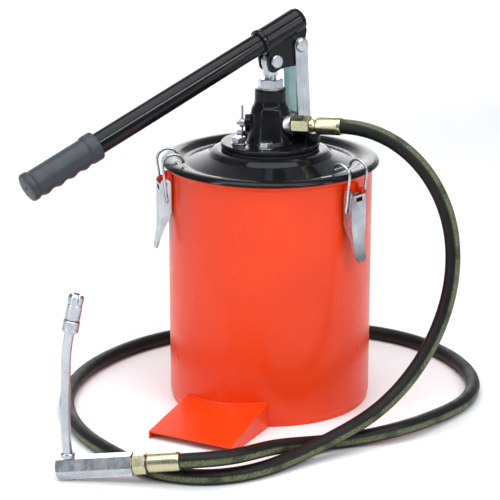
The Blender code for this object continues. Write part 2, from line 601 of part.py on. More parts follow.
cheek_outline = [lever_point(-0.0125, 0.0045), lever_point(-0.0125, 0.0121), (-0.0096, 0.3620),
                 (-0.0090, 0.3570), (-0.0080, 0.3505), (-0.0050, 0.3468), (-0.0020, 0.3460),
                 (0.0020, 0.3470), (0.0060, 0.3488), (0.0120, 0.3498), (0.0250, 0.3505), (0.0300, 0.3530),
                 (0.0340, 0.3600)]
for i in range(8):
    a = math.radians(-35.0 + 75.0 * i / 7.0)
    cheek_outline.append((FULCRUM[0] + 0.0090 * math.cos(a), FULCRUM[1] + 0.0090 * math.sin(a)))
cheek_outline += [lever_point(0.0370, 0.0110), lever_point(0.0370, 0.0045)]
for side_name, low, high in (("front", CHEEK_IN, CHEEK_OUT), ("rear", -CHEEK_OUT, -CHEEK_IN)):
    cut(socket, "add_cheek_" + side_name, prism_bm(cheek_outline, low, high), "UNION", lug_turn)
cut(socket, "cut_tube_bore", rod_bm(0.0113, 0.0610, 32), "DIFFERENCE",
    aim(lever_zero + lever_axis * (SOCKET_MOUTH - 0.0100), lever_axis))
cut(socket, "cut_fulcrum_bore", rod_bm(0.0043, 0.04, 24), "DIFFERENCE",
    aim((FULCRUM[0], 0.02, FULCRUM[1]), (0.0, -1.0, 0.0)))
cut(socket, "cut_plunger_bore", rod_bm(0.0038, 0.04, 24), "DIFFERENCE",
    aim((PLUNGER_PIN[0], 0.02, PLUNGER_PIN[1]), (0.0, -1.0, 0.0)))
pin_profile = [(0.0, -0.0126), (0.0060, -0.0126), (0.0068, -0.0118), (0.0068, -CHEEK_OUT - GAP),
               (0.0035, -CHEEK_OUT - GAP), (0.0035, CHEEK_OUT + 0.0001), (0.0, CHEEK_OUT + 0.0001)]
finish("plunger_pin", lathe_bm(pin_profile, 24), "zinc", origin=FULCRUM_PIVOT,
       matrix=aim((PLUNGER_PIN[0], 0.0, PLUNGER_PIN[1]), (0.0, 1.0, 0.0)))

TUBE_FROM = -0.2950
tube = finish("handle_tube", ring_bm(0.0094, 0.0110, 0.0350 - TUBE_FROM - 0.0010, 24), "black_gloss",
              origin=FULCRUM_PIVOT, matrix=aim(lever_zero + lever_axis * TUBE_FROM, lever_axis))
GRIP_FROM = -0.3020
grip_profile = [(0.0, 0.0), (0.0128, 0.0), (0.0140, 0.0014), (0.0142, 0.0052), (0.0128, 0.0090),
                (0.0142, 0.0170), (0.0128, 0.0245), (0.0142, 0.0330), (0.0128, 0.0400),
                (0.0142, 0.0480), (0.0128, 0.0550), (0.0148, 0.0700), (0.0150, 0.0770), (0.0146, 0.0812),
                (0.0134, 0.0830), (0.0113, 0.0830), (0.0113, 0.0066), (0.0, 0.0066)]
finish("hand_grip", lathe_bm(grip_profile, 24), "grip", origin=FULCRUM_PIVOT,
       matrix=aim(lever_zero + lever_axis * GRIP_FROM, lever_axis))

# ---------------------------------------------------------------- latches
bracket_side = [(0.1070, 0.2120), (0.1054, 0.2120), (0.1054, 0.2474), (0.1088, 0.2471), (0.1112, 0.2412)]
for i in range(9):
    a = math.radians(105.0 - 195.0 * i / 8.0)
    bracket_side.append((LATCH_P1[0] + 0.0039 * math.cos(a), LATCH_P1[1] + 0.0039 * math.sin(a)))
bracket_side.append((0.1100, 0.2290))
# height, back radius, face radius and half width of the latch lever's channel
lever_sections = []
for degrees in (84.0, 65.0, 40.0, 15.0):
    height = LATCH_P1[1] + 0.0054 * math.sin(math.radians(degrees))
    reach = 0.0054 * math.cos(math.radians(degrees))
    lever_sections.append((height, LATCH_P1[0] - reach, LATCH_P1[0] + reach, 0.0110))
lever_sections += [(0.2380, 0.1071, 0.1180, 0.0110), (0.2080, 0.1071, 0.1180, 0.0110),
                   (0.2000, 0.1092, 0.1180, 0.0100), (0.1930, 0.1130, 0.1184, 0.0088),
                   (0.1850, 0.1160, 0.1193, 0.0082), (0.1780, 0.1186, 0.1206, 0.0080),
                   (0.1720, 0.1203, 0.1220, 0.0068), (0.1690, 0.1212, 0.1227, 0.0045)]
hollow_sections = [(0.2500, 0.1000, 0.1167, 0.0097), (0.2080, 0.1000, 0.1167, 0.0097),
                   (0.2000, 0.1000, 0.1167, 0.0087), (0.1930, 0.1000, 0.1171, 0.0075),
                   (0.1850, 0.1000, 0.1180, 0.0069), (0.1780, 0.1000, 0.1193, 0.0067),
                   (0.1680, 0.1000, 0.1213, 0.0050)]
bail_half = [(LATCH_P2[0], 0.0088, LATCH_P2[1]), (LATCH_P2[0], 0.0118, LATCH_P2[1]),
             (LATCH_P2[0] + 0.0001, 0.0127, LATCH_P2[1] + 0.0010), (0.1160, 0.0135, 0.2585)]
for i in range(1, 8):
    a = math.pi * i / 8.0
    bail_half.append((0.1053 + 0.0107 * math.cos(a), 0.0135, 0.2585 + 0.0022 * i / 8.0 + 0.0092 * math.sin(a)))
bail_half += [(0.0945, 0.0133, 0.2607), (0.0945, 0.0118, 0.2602)]
bail_path = [(x, -y, z) for x, y, z in bail_half] + [(x, y, z) for x, y, z in reversed(bail_half)]
for number, degrees in enumerate(LATCH_ANGLES, start=1):
    tag = "_" + str(number)
    place = Matrix.Rotation(math.radians(degrees), 4, "Z")
    stand = place @ lug_turn
    p1 = place @ Vector((LATCH_P1[0], 0.0, LATCH_P1[1]))
    p2 = place @ Vector((LATCH_P2[0], 0.0, LATCH_P2[1]))
    bracket = finish("latch_bracket" + tag, prism_bm(bracket_side, -0.0094, 0.0094), "orange",
                     smooth=False, matrix=stand)
    cut(bracket, "cut_bracket" + tag, prism_bm([(0.1068, 0.2000), (0.1300, 0.2000), (0.1300, 0.2600),
                                                (0.1068, 0.2600)], -0.0080, 0.0080), "DIFFERENCE", stand)
    cut(bracket, "cut_ears" + tag, rod_bm(0.0018, 0.04, 16), "DIFFERENCE",
        place @ aim((LATCH_P1[0], 0.02, LATCH_P1[1]), (0.0, -1.0, 0.0)))
    finish("latch_pin" + tag, rod_bm(0.0015, 0.0226, 16, 0.0003), "zinc", origin=p1,
           matrix=place @ aim((LATCH_P1[0], 0.0113, LATCH_P1[1]), (0.0, -1.0, 0.0)))
    latch = finish("latch_lever" + tag, box_loft_bm(lever_sections), "zinc", smooth=False,
                   origin=p1, matrix=place)
    cut(latch, "cut_channel" + tag, box_loft_bm(hollow_sections), "DIFFERENCE", place)
    cut(latch, "cut_face_top" + tag, prism_bm([(0.1150, 0.2376), (0.1300, 0.2376), (0.1300, 0.2600),
                                               (0.1150, 0.2600)], -0.0096, 0.0096), "DIFFERENCE", stand)
    cut(latch, "cut_window" + tag, prism_bm([(0.1150, 0.2308), (0.1300, 0.2308), (0.1300, 0.2354),
                                             (0.1150, 0.2354)], -0.0050, 0.0050), "DIFFERENCE", stand)
    for label, spot, hole in (("p1", LATCH_P1, 0.0018), ("p2", LATCH_P2, 0.0017)):
        cut(latch, "cut_" + label + tag, rod_bm(hole, 0.04, 16), "DIFFERENCE",
            place @ aim((spot[0], 0.02, spot[1]), (0.0, -1.0, 0.0)))
    finish("latch_bail" + tag, tube_along(bail_path, WIRE_R, 8), "zinc", origin=p2, matrix=place)
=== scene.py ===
"""Looks of the lever-operated bucket grease pump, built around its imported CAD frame."""
import json
import math
import bmesh
import bpy
import numpy as np
from mathutils import Matrix, Vector


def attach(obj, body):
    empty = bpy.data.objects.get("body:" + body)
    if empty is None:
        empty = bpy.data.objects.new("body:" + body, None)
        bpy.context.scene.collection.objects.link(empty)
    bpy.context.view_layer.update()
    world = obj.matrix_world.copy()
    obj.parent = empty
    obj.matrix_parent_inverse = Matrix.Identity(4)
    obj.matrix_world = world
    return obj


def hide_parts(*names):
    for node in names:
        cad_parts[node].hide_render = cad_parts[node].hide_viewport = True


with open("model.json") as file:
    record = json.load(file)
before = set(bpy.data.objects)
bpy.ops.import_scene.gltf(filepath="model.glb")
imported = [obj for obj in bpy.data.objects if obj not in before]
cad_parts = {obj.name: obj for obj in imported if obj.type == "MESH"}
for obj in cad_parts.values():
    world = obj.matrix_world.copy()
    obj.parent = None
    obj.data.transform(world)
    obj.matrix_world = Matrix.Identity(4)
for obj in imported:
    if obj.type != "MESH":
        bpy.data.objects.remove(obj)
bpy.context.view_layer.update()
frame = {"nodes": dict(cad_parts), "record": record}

# ---------------------------------------------------------------- camera
cam_data = bpy.data.cameras.new("camera")
cam_data.lens = 137.19
cam_data.sensor_width = 36.0
cam_data.clip_start = 0.05
cam = bpy.data.objects.new("camera", cam_data)
cam.location = (-1.0522, -1.5822, 0.7405)
cam.rotation_euler = (math.radians(72.907), 0.0, math.radians(-33.0))
bpy.context.scene.collection.objects.link(cam)
bpy.context.scene.camera = cam
bpy.context.scene.view_settings.view_transform = "Standard"

# ---------------------------------------------------------------- dimensions, the same as the CAD's
SHELL_R = 0.1050
SHELL_CUT_R = SHELL_R + 0.0003
FOOT_HALF_W = 0.0466
FOOT_REAR = 0.0860
FOOT_FRONT = 0.1750
FOOT_REAR_Z_LEFT = 0.0205
FOOT_REAR_Z_RIGHT = 0.0295
FOOT_FRONT_Z = 0.0082
FOOT_LOW_Z = 0.0006
FOOT_T = 0.0015
FLANGE_LOW_Z = 0.2685
FLANGE_TOP_Z = 0.2735
BODY_TOP = 0.3285
ROD_R = 0.0060
HOSE_R = 0.0075
SPIGOT_PIPE_R = 0.0046
SPIGOT_NUT_AT = 0.0327
SPIGOT_BAR_AT = 0.0455
HOSE_ROUTE = [
    (0.0422, -0.0675, 0.2964), (0.0686, -0.1109, 0.2882), (0.0890, -0.1476, 0.2575),
    (0.0984, -0.1713, 0.2138), (0.0957, -0.1825, 0.1634), (0.0808, -0.1835, 0.1121),
    (0.0533, -0.1797, 0.0672), (0.0133, -0.1782, 0.0363), (-0.0355, -0.1814, 0.0215),
    (-0.0836, -0.1822, 0.0115), (-0.1389, -0.1852, 0.0078), (-0.1864, -0.1717, 0.0078),
    (-0.2178, -0.1376, 0.0078), (-0.2305, -0.0856, 0.0078), (-0.2335, -0.0312, 0.0078),
    (-0.2253, 0.0208, 0.0078), (-0.2065, 0.0690, 0.0078), (-0.1767, 0.1112, 0.0078),
    (-0.1372, 0.1455, 0.0078), (-0.0900, 0.1697, 0.0078), (-0.0380, 0.1825, 0.0078),
    (0.0131, 0.1813, 0.0078), (0.0623, 0.1666, 0.0078), (0.1098, 0.1429, 0.0078),
    (0.1528, 0.1117, 0.0078), (0.1870, 0.0729, 0.0078), (0.2081, 0.0264, 0.0078),
    (0.2134, -0.0255, 0.0078), (0.2033, -0.0771, 0.0078), (0.1785, -0.1222, 0.0078),
    (0.1391, -0.1550, 0.0080), (0.0856, -0.1747, 0.0098), (0.0303, -0.1854, 0.0122),
    (-0.0146, -0.1739, 0.0084), (-0.0665, -0.1626, 0.0106), (-0.1207, -0.1766, 0.0230),
    (-0.1652, -0.1833, 0.0276), (-0.2086, -0.1636, 0.0262),
]
SPIGOT_START = Vector((-0.2086, -0.1636, 0.0262))
SPIGOT_END = Vector((-0.2964, -0.0827, 0.0108))
SPIGOT_TUBE = [
    (-0.2895, -0.0911, 0.0232), (-0.2903, -0.0906, 0.0400), (-0.2905, -0.0906, 0.0560),
    (-0.2900, -0.0909, 0.0812), (-0.2893, -0.0914, 0.1012), (-0.2886, -0.0918, 0.1211),
    (-0.2873, -0.0926, 0.1349), (-0.2853, -0.0940, 0.1478), (-0.2836, -0.0951, 0.1570),
]
COUPLER_FROM = Vector((-0.2838, -0.0949, 0.1560))
COUPLER_DIR = Vector((0.0052, -0.0034, 0.0300)).normalized()
OUTLET_ANGLE = math.radians(-58.0)
OUTLET_TILT = math.radians(3.5)
OUTLET_FOOT = Vector((0.0, 0.0, 0.2915))
OUTLET_DIR = Vector((math.cos(OUTLET_ANGLE) * math.cos(OUTLET_TILT),
                     math.sin(OUTLET_ANGLE) * math.cos(OUTLET_TILT), math.sin(OUTLET_TILT)))
BLEED_ANGLE = math.radians(147.0)
BLEED_FOOT = Vector((0.0, 0.0, 0.2927))
BLEED_DIR = Vector((math.cos(BLEED_ANGLE), math.sin(BLEED_ANGLE), 0.0))
BOLT_ANGLES = (49.0, 109.0, 169.0, 229.0)
BOLT_PITCH_R = 0.0345
BOLTS_FROM_Z = FLANGE_TOP_Z + 0.0003
LATCH_ANGLES = (-75.0, 43.0, 162.0)
LATCH_P1 = (0.1125, 0.2375)
LATCH_P2 = (0.1115, 0.2195)
WIRE_R = 0.0014
FULCRUM = (0.0298, 0.3718)
PLUNGER_PIN = (0.0006, 0.3575)
EYE_CENTRE = (0.0, 0.3575)
EYE_R = 0.0080
LINK_PIN = (0.0345, 0.2910)
LINK_IN = 0.0096
LINK_OUT = 0.0121
LINK_HALF_W = 0.0076
LUG_R = 0.0073
CHEEK_IN = 0.0063
CHEEK_OUT = 0.0093
PIN_R = 0.0040
PIN_HALF = LINK_OUT + 0.0003
LEVER_SLOPE = math.radians(23.0)
LEVER_AXIS = Vector((math.cos(LEVER_SLOPE), 0.0, math.sin(LEVER_SLOPE)))
LEVER_NORMAL = Vector((-math.sin(LEVER_SLOPE), 0.0, math.cos(LEVER_SLOPE)))
LEVER_ZERO = Vector((0.0, 0.0, 0.3818))
SOCKET_MOUTH = -0.0150
TUBE_FROM = -0.2950
TUBE_R = 0.0110
TUBE_LONG = 0.3290
GRIP_FROM = -0.3020
GRIP_LONG = 0.0830
GRIP_R = 0.0134
LOBES_FROM = 0.0085
LOBES_TO = 0.0690
LOBE_PITCH = 0.01513
LOBE_DEEP = 0.0019
BRACKET_HALF_W = 0.0094
LATCH_HALF_W = 0.0110
FOOT_ANGLE = math.radians(209.6)
UPRIGHT = Matrix(((1.0, 0.0, 0.0, 0.0), (0.0, 0.0, -1.0, 0.0), (0.0, 1.0, 0.0, 0.0), (0.0, 0.0, 0.0, 1.0)))


# ---------------------------------------------------------------- materials
WEAR_FROM = 0.600
WEAR_FULL = 0.66
ENAMEL_WEAR = (0.020, 0.022, 0.026)
STRIPE_TURN = 0.69
DASHES_PER_METRE = 16.0
WRAPS_PER_METRE = 900.0
HOSE_WEAVES = 12.0


def node_tree(name):
    mat = bpy.data.materials.new(name)
    mat.use_nodes = True
    tree = mat.node_tree
    return mat, tree, tree.nodes["Principled BSDF"]


def noise(tree, coord, scale, detail=3.0, rough=0.55):
    node = tree.nodes.new("ShaderNodeTexNoise")
    node.inputs["Scale"].default_value = scale
    node.inputs["Detail"].default_value = detail
    node.inputs["Roughness"].default_value = rough
    tree.links.new(coord, node.inputs["Vector"])
    return node.outputs["Fac"]


def spread(tree, value, low, high, out_low, out_high):
    node = tree.nodes.new("ShaderNodeMapRange")
    for key, number in (("From Min", low), ("From Max", high), ("To Min", out_low), ("To Max", out_high)):
        node.inputs[key].default_value = number
    tree.links.new(value, node.inputs["Value"])
    return node.outputs["Result"]


def mix(tree, factor, first, second):
    node = tree.nodes.new("ShaderNodeMix")
    node.data_type = "RGBA"
    tree.links.new(factor, node.inputs["Factor"])
    for socket, value in ((node.inputs["A"], first), (node.inputs["B"], second)):
        if isinstance(value, tuple):
            socket.default_value = value + (1.0,)
        else:
            tree.links.new(value, socket)
    return node.outputs["Result"]


def math_node(tree, operation, first, second):
    node = tree.nodes.new("ShaderNodeMath")
    node.operation = operation
    for socket, value in ((node.inputs[0], first), (node.inputs[1], second)):
        if isinstance(value, (int, float)):
            socket.default_value = value
        else:
            tree.links.new(value, socket)
    return node.outputs["Value"]


def finish_material(name, first, second, blotch, rough, rough_scale, metallic=0.0, bumps=(), coat=0.0,
                    coat_rough=0.08, stretch=None, specular=0.5, worn=None):
    """Principled finish with two-tone variation, roughness variation, bump layers and worn edges."""
    mat, tree, shader = node_tree(name)
    coord = tree.nodes.new("ShaderNodeTexCoord").outputs["Object"]
    grain = coord
    if stretch is not None:
        mapping = tree.nodes.new("ShaderNodeMapping")
        mapping.inputs["Scale"].default_value = stretch
        tree.links.new(coord, mapping.inputs["Vector"])
        grain = mapping.outputs["Vector"]
    tone = spread(tree, noise(tree, coord, blotch, 4.0), 0.35, 0.65, 0.0, 1.0)
    colour = mix(tree, tone, first, second)
    if worn is not None:
        geometry = tree.nodes.new("ShaderNodeNewGeometry")
        ragged = math_node(tree, "MULTIPLY", noise(tree, coord, 240.0, 5.0), 0.06)
        sharpness = math_node(tree, "ADD", geometry.outputs["Pointiness"], ragged)
        edge = spread(tree, sharpness, WEAR_FROM, WEAR_FULL, 0.0, 1.0)
        colour = mix(tree, edge, colour, worn)
    tree.links.new(colour, shader.inputs["Base Color"])
    tree.links.new(spread(tree, noise(tree, grain, rough_scale, 4.0), 0.3, 0.7, rough[0], rough[1]),
                   shader.inputs["Roughness"])
    shader.inputs["Metallic"].default_value = metallic
    shader.inputs["Specular IOR Level"].default_value = specular
    shader.inputs["Coat Weight"].default_value = coat
    shader.inputs["Coat Roughness"].default_value = coat_rough
    normal = None
    for scale, depth, stretched in bumps:
        bump = tree.nodes.new("ShaderNodeBump")
        bump.inputs["Strength"].default_value = 1.0
        bump.inputs["Distance"].default_value = depth
        tree.links.new(noise(tree, grain if stretched else coord, scale, 2.0), bump.inputs["Height"])
        if normal is not None:
            tree.links.new(normal, bump.inputs["Normal"])
        normal = bump.outputs["Normal"]
    if normal is not None:
        tree.links.new(normal, shader.inputs["Normal"])
    return mat


MATS = {
    "orange_paint": finish_material(
        "orange_paint", (0.84, 0.050, 0.003), (0.78, 0.042, 0.002), 14.0, (0.26, 0.36), 30.0, coat=0.08,
        coat_rough=0.12, specular=0.30, bumps=((520.0, 0.000005, False),)),
    "black_enamel": finish_material(
        "black_enamel", (0.005, 0.005, 0.006), (0.008, 0.008, 0.010), 22.0, (0.09, 0.15), 40.0,
        specular=0.21, bumps=((420.0, 0.000010, False),), worn=ENAMEL_WEAR),
    "cast_enamel": finish_material(
        "cast_enamel", (0.005, 0.005, 0.006), (0.009, 0.009, 0.011), 30.0, (0.13, 0.22), 60.0,
        specular=0.21, bumps=((260.0, 0.00006, False), (90.0, 0.00020, False)), worn=ENAMEL_WEAR),
    "white_zinc": finish_material(
        "white_zinc", (0.56, 0.58, 0.61), (0.42, 0.45, 0.49), 60.0, (0.20, 0.34), 160.0, metallic=1.0,
        bumps=((900.0, 0.00002, True),), stretch=(1.0, 1.0, 0.15), worn=(0.72, 0.73, 0.75)),
    "yellow_zinc": finish_material(
        "yellow_zinc", (0.60, 0.53, 0.29), (0.50, 0.48, 0.36), 90.0, (0.20, 0.34), 140.0, metallic=1.0,
        bumps=((900.0, 0.00002, False),)),
    # painted shade: a darker, bluer copy of the white zinc, its colour and its worn edges both dimmed, for
    # the rear link plate that sits in shadow
    "painted_shade_zinc": finish_material(
        "painted_shade_zinc", (0.26, 0.40, 0.39), (0.21, 0.33, 0.33), 60.0, (0.24, 0.36), 160.0, metallic=1.0,
        bumps=((900.0, 0.00002, True),), stretch=(1.0, 1.0, 0.15), worn=(0.60, 0.64, 0.64)),
    "plain_steel": finish_material(
        "plain_steel", (0.46, 0.47, 0.49), (0.34, 0.35, 0.37), 50.0, (0.26, 0.40), 180.0, metallic=1.0,
        bumps=((700.0, 0.00003, True),), stretch=(1.0, 1.0, 0.08)),
    "seal_rubber": finish_material(
        "seal_rubber", (0.016, 0.016, 0.017), (0.030, 0.030, 0.031), 40.0, (0.55, 0.75), 120.0,
        bumps=((600.0, 0.00004, False),)),
    "grip_rubber": finish_material(
        "grip_rubber", (0.022, 0.028, 0.036), (0.032, 0.040, 0.050), 45.0, (0.42, 0.56), 120.0,
        bumps=((700.0, 0.00005, False),), worn=(0.05, 0.054, 0.062)),
}


def hose_material():
    """Black wrapped rubber with a soft, worn olive stripe along it."""
    mat, tree, shader = node_tree("hose_rubber")
    coord = tree.nodes.new("ShaderNodeTexCoord").outputs["Object"]
    uv = tree.nodes.new("ShaderNodeUVMap")
    uv.uv_map = "along"
    split = tree.nodes.new("ShaderNodeSeparateXYZ")
    tree.links.new(uv.outputs["UV"], split.inputs["Vector"])
    around = split.outputs["X"]
    along = split.outputs["Y"]
    turned = math_node(tree, "FRACT", math_node(tree, "ADD", around, STRIPE_TURN), 0.0)
    distance = math_node(tree, "ABSOLUTE", math_node(tree, "SUBTRACT", turned, 0.50), 0.0)
    band = spread(tree, distance, 0.040, 0.080, 1.0, 0.0)
    dash = math_node(tree, "FRACT", math_node(tree, "MULTIPLY", along, DASHES_PER_METRE), 0.0)
    dash_on = spread(tree, math_node(tree, "ABSOLUTE", math_node(tree, "SUBTRACT", dash, 0.5), 0.0),
                     0.36, 0.44, 1.0, 0.45)
    patch = spread(tree, noise(tree, coord, 700.0, 3.0), 0.36, 0.60, 0.25, 1.0)
    printed = math_node(tree, "MULTIPLY", math_node(tree, "MULTIPLY", band, dash_on), patch)
    tone = spread(tree, noise(tree, coord, 30.0, 4.0), 0.35, 0.65, 0.0, 1.0)
    rubber = mix(tree, tone, (0.004, 0.004, 0.004), (0.009, 0.009, 0.008))
    shader.inputs["Specular IOR Level"].default_value = 0.22
    tree.links.new(mix(tree, printed, rubber, (0.15, 0.17, 0.085)), shader.inputs["Base Color"])
    tree.links.new(spread(tree, noise(tree, coord, 90.0, 4.0), 0.3, 0.7, 0.38, 0.56),
                   shader.inputs["Roughness"])
    steep = math_node(tree, "ADD", math_node(tree, "MULTIPLY", along, WRAPS_PER_METRE),
                      math_node(tree, "MULTIPLY", around, HOSE_WEAVES))
    wave = math_node(tree, "SINE", math_node(tree, "MULTIPLY", steep, 6.2832), 0.0)
    weave = tree.nodes.new("ShaderNodeBump")
    weave.inputs["Strength"].default_value = 0.5
    weave.inputs["Distance"].default_value = 0.00004
    tree.links.new(wave, weave.inputs["Height"])
    rough = tree.nodes.new("ShaderNodeBump")
    rough.inputs["Strength"].default_value = 1.0
    rough.inputs["Distance"].default_value = 0.00008
    tree.links.new(noise(tree, coord, 260.0, 3.0), rough.inputs["Height"])
    tree.links.new(weave.outputs["Normal"], rough.inputs["Normal"])
    tree.links.new(rough.outputs["Normal"], shader.inputs["Normal"])
    return mat


MATS["hose_rubber"] = hose_material()


# ---------------------------------------------------------------- mesh helpers
BEVEL_ANGLE = math.radians(30.0)


def arc(centre, radius, start, sweep, parts):
    """Points of an arc from a start angle through a sweep, both in radians."""
    return [(centre[0] + radius * math.cos(start + sweep * i / parts),
             centre[1] + radius * math.sin(start + sweep * i / parts)) for i in range(parts + 1)]


def loft_bm(rings):
    """Closed body through a list of equal point rings."""
    bm = bmesh.new()
    made = [[bm.verts.new(p) for p in ring] for ring in rings]
    bm.faces.new(list(reversed(made[0])))
    bm.faces.new(made[-1])
    for lower, upper in zip(made[:-1], made[1:]):
        for i in range(len(lower)):
            j = (i + 1) % len(lower)
            bm.faces.new((lower[i], lower[j], upper[j], upper[i]))
    return bm


def rounded(profile, radius, parts=4):
    """The closed outline with each sharp corner turned into a small arc."""
    pts = [Vector((p[0], p[1])) for p in profile]
    out = []
    count = len(pts)
    for i, p in enumerate(pts):
        a = pts[i - 1] - p
        b = pts[(i + 1) % count] - p
        if p.x < 1e-6 or a.length < 1e-7 or b.length < 1e-7:
            out.append((p.x, p.y))
            continue
        turn = math.pi - a.angle(b)
        if turn < math.radians(12.0):
            out.append((p.x, p.y))
            continue
        reach = min(radius * math.tan(turn / 2.0), 0.42 * a.length, 0.42 * b.length)
        start = p + a.normalized() * reach
        end = p + b.normalized() * reach
        for k in range(parts + 1):
            t = k / parts
            q = start * (1 - t) ** 2 + p * 2 * t * (1 - t) + end * t ** 2
            out.append((q.x, q.y))
    return out


def lathe_bm(profile, steps=64):
    """Revolve a closed (r, z) outline about Z. Points with r = 0 become poles."""
    bm = bmesh.new()
    rings = []
    for r, z in profile:
        if r < 1e-7:
            rings.append([bm.verts.new((0.0, 0.0, z))])
        else:
            rings.append([bm.verts.new((r * math.cos(2.0 * math.pi * i / steps),
                                        r * math.sin(2.0 * math.pi * i / steps), z)) for i in range(steps)])
    for k in range(len(rings)):
        lower = rings[k]
        upper = rings[(k + 1) % len(rings)]
        if len(lower) == 1 and len(upper) == 1:
            continue
        for i in range(steps):
            j = (i + 1) % steps
            if len(lower) == 1:
                bm.faces.new((lower[0], upper[j], upper[i]))
            elif len(upper) == 1:
                bm.faces.new((lower[i], lower[j], upper[0]))
            else:
                bm.faces.new((lower[i], lower[j], upper[j], upper[i]))
    return bm


def rod_bm(radius, length, steps=48, soft=0.0003):
    """Solid round bar along +Z from the origin, with soft end corners."""
    return lathe_bm(rounded([(0.0, 0.0), (radius, 0.0), (radius, length), (0.0, length)], soft), steps)


def prism_bm(outline, low, high):
    """Extrude a closed XY outline along Z between two heights."""
    return loft_bm([[(x, y, low) for x, y in outline], [(x, y, high) for x, y in outline]])


def box_loft_bm(sections):
    """Rectangles stacked along Z, each a (height, low X, high X, half width) tuple."""
    return loft_bm([[(x0, -w, z), (x1, -w, z), (x1, w, z), (x0, w, z)] for z, x0, x1, w in sections])


def hex_outline(across_flats, turn=0.0):
    r = across_flats / 2.0 / math.cos(math.pi / 6.0)
    return arc((0.0, 0.0), r, turn, 2.0 * math.pi, 6)[:-1]


def sweep_bm(points, radius, steps=16):
    """Round bar swept through points, with its length and its turn kept as UVs."""
    pts = [Vector(p) for p in points]
    bm = bmesh.new()
    layer = bm.loops.layers.uv.new("along")
    rings = []
    runs = []
    side = None
    run = 0.0
    for i, p in enumerate(pts):
        if i == 0:
            d = pts[1] - pts[0]
        elif i == len(pts) - 1:
            d = pts[-1] - pts[-2]
        else:
            d = (pts[i + 1] - p).normalized() + (p - pts[i - 1]).normalized()
        d.normalize()
        if i > 0:
            run += (p - pts[i - 1]).length
        if side is None:
            ref = Vector((0.0, 0.0, 1.0)) if abs(d.z) < 0.9 else Vector((1.0, 0.0, 0.0))
            side = d.cross(ref).normalized()
        side = (side - d * side.dot(d)).normalized()
        other = d.cross(side)
        rings.append([bm.verts.new(p + (side * math.cos(2.0 * math.pi * k / steps)
                                        + other * math.sin(2.0 * math.pi * k / steps)) * radius)
                      for k in range(steps)])
        runs.append(run)
    bm.faces.new(list(reversed(rings[0])))
    bm.faces.new(rings[-1])
    for n in range(len(rings) - 1):
        for k in range(steps):
            j = (k + 1) % steps
            face = bm.faces.new((rings[n][k], rings[n][j], rings[n + 1][j], rings[n + 1][k]))
            turns = (k / steps, (k + 1) / steps, (k + 1) / steps, k / steps)
            spots = (runs[n], runs[n], runs[n + 1], runs[n + 1])
            for loop, u, v in zip(face.loops, turns, spots):
                loop[layer].uv = (u, v)
    return bm


def smooth_path(points, spacing, start=None, end=None):
    """Evenly spaced points on a clamped cubic spline through a route list."""
    pts = np.array(points, dtype=float)
    n = len(pts)
    h = np.linalg.norm(np.diff(pts, axis=0), axis=1)
    chord = np.diff(pts, axis=0) / h[:, None]
    first = chord[0] if start is None else np.array(start, dtype=float)
    last = chord[-1] if end is None else np.array(end, dtype=float)
    system = np.zeros((n, n))
    right = np.zeros((n, 3))
    system[0, 0] = 1.0
    right[0] = first / np.linalg.norm(first)
    system[-1, -1] = 1.0
    right[-1] = last / np.linalg.norm(last)
    for i in range(1, n - 1):
        system[i, i - 1] = h[i]
        system[i, i] = 2.0 * (h[i - 1] + h[i])
        system[i, i + 1] = h[i - 1]
        right[i] = 3.0 * (h[i] * chord[i - 1] + h[i - 1] * chord[i])
    slope = np.linalg.solve(system, right)
    fine = []
    for i in range(n - 1):
        for t in np.linspace(0.0, 1.0, 16, endpoint=False):
            fine.append(pts[i] * (2 * t ** 3 - 3 * t ** 2 + 1) + slope[i] * h[i] * (t ** 3 - 2 * t ** 2 + t)
                        + pts[i + 1] * (3 * t ** 2 - 2 * t ** 3) + slope[i + 1] * h[i] * (t ** 3 - t ** 2))
    fine.append(pts[-1])
    fine = np.array(fine)
    run = np.concatenate([[0.0], np.cumsum(np.linalg.norm(np.diff(fine, axis=0), axis=1))])
    count = max(2, round(run[-1] / spacing))
    places = np.linspace(0.0, run[-1], count + 1)
    return [Vector([np.interp(place, run, fine[:, k]) for k in range(3)]) for place in places]


def aim(start, direction, reach=0.0):
    """Matrix that carries +Z from the origin onto a unit direction, a reach out from a start point."""
    turn = Vector(direction).normalized().to_track_quat("Z", "Y").to_matrix().to_4x4()
    return Matrix.Translation(Vector(start) + Vector(direction) * reach) @ turn


def across(place, start=0.0):
    """Matrix that carries +Z onto -Y, through an (x, z) place of the side view."""
    return aim((place[0], start, place[1]), (0.0, -1.0, 0.0))


def raised(height):
    return Matrix.Translation((0.0, 0.0, height))


def moved(bm, matrix):
    bmesh.ops.transform(bm, matrix=matrix, verts=bm.verts)
    return bm


def scratch(bm):
    """Temporary object for a modifier."""
    bmesh.ops.recalc_face_normals(bm, faces=bm.faces)
    mesh = bpy.data.meshes.new("scratch")
    bm.to_mesh(mesh)
    bm.free()
    obj = bpy.data.objects.new("scratch", mesh)
    bpy.context.scene.collection.objects.link(obj)
    return obj


def evaluated(obj):
    """The bmesh that an object's modifiers give."""
    graph = bpy.context.evaluated_depsgraph_get()
    mesh = bpy.data.meshes.new_from_object(obj.evaluated_get(graph))
    bm = bmesh.new()
    bm.from_mesh(mesh)
    bpy.data.meshes.remove(mesh)
    return bm


def combine(base, other, operation="DIFFERENCE"):
    """Exact Boolean of two bmeshes, which are used up."""
    first = scratch(base)
    second = scratch(other)
    mod = first.modifiers.new("combine", "BOOLEAN")
    mod.operation = operation
    mod.solver = "EXACT"
    mod.object = second
    bm = evaluated(first)
    for obj in (first, second):
        mesh = obj.data
        bpy.data.objects.remove(obj)
        bpy.data.meshes.remove(mesh)
    return bm


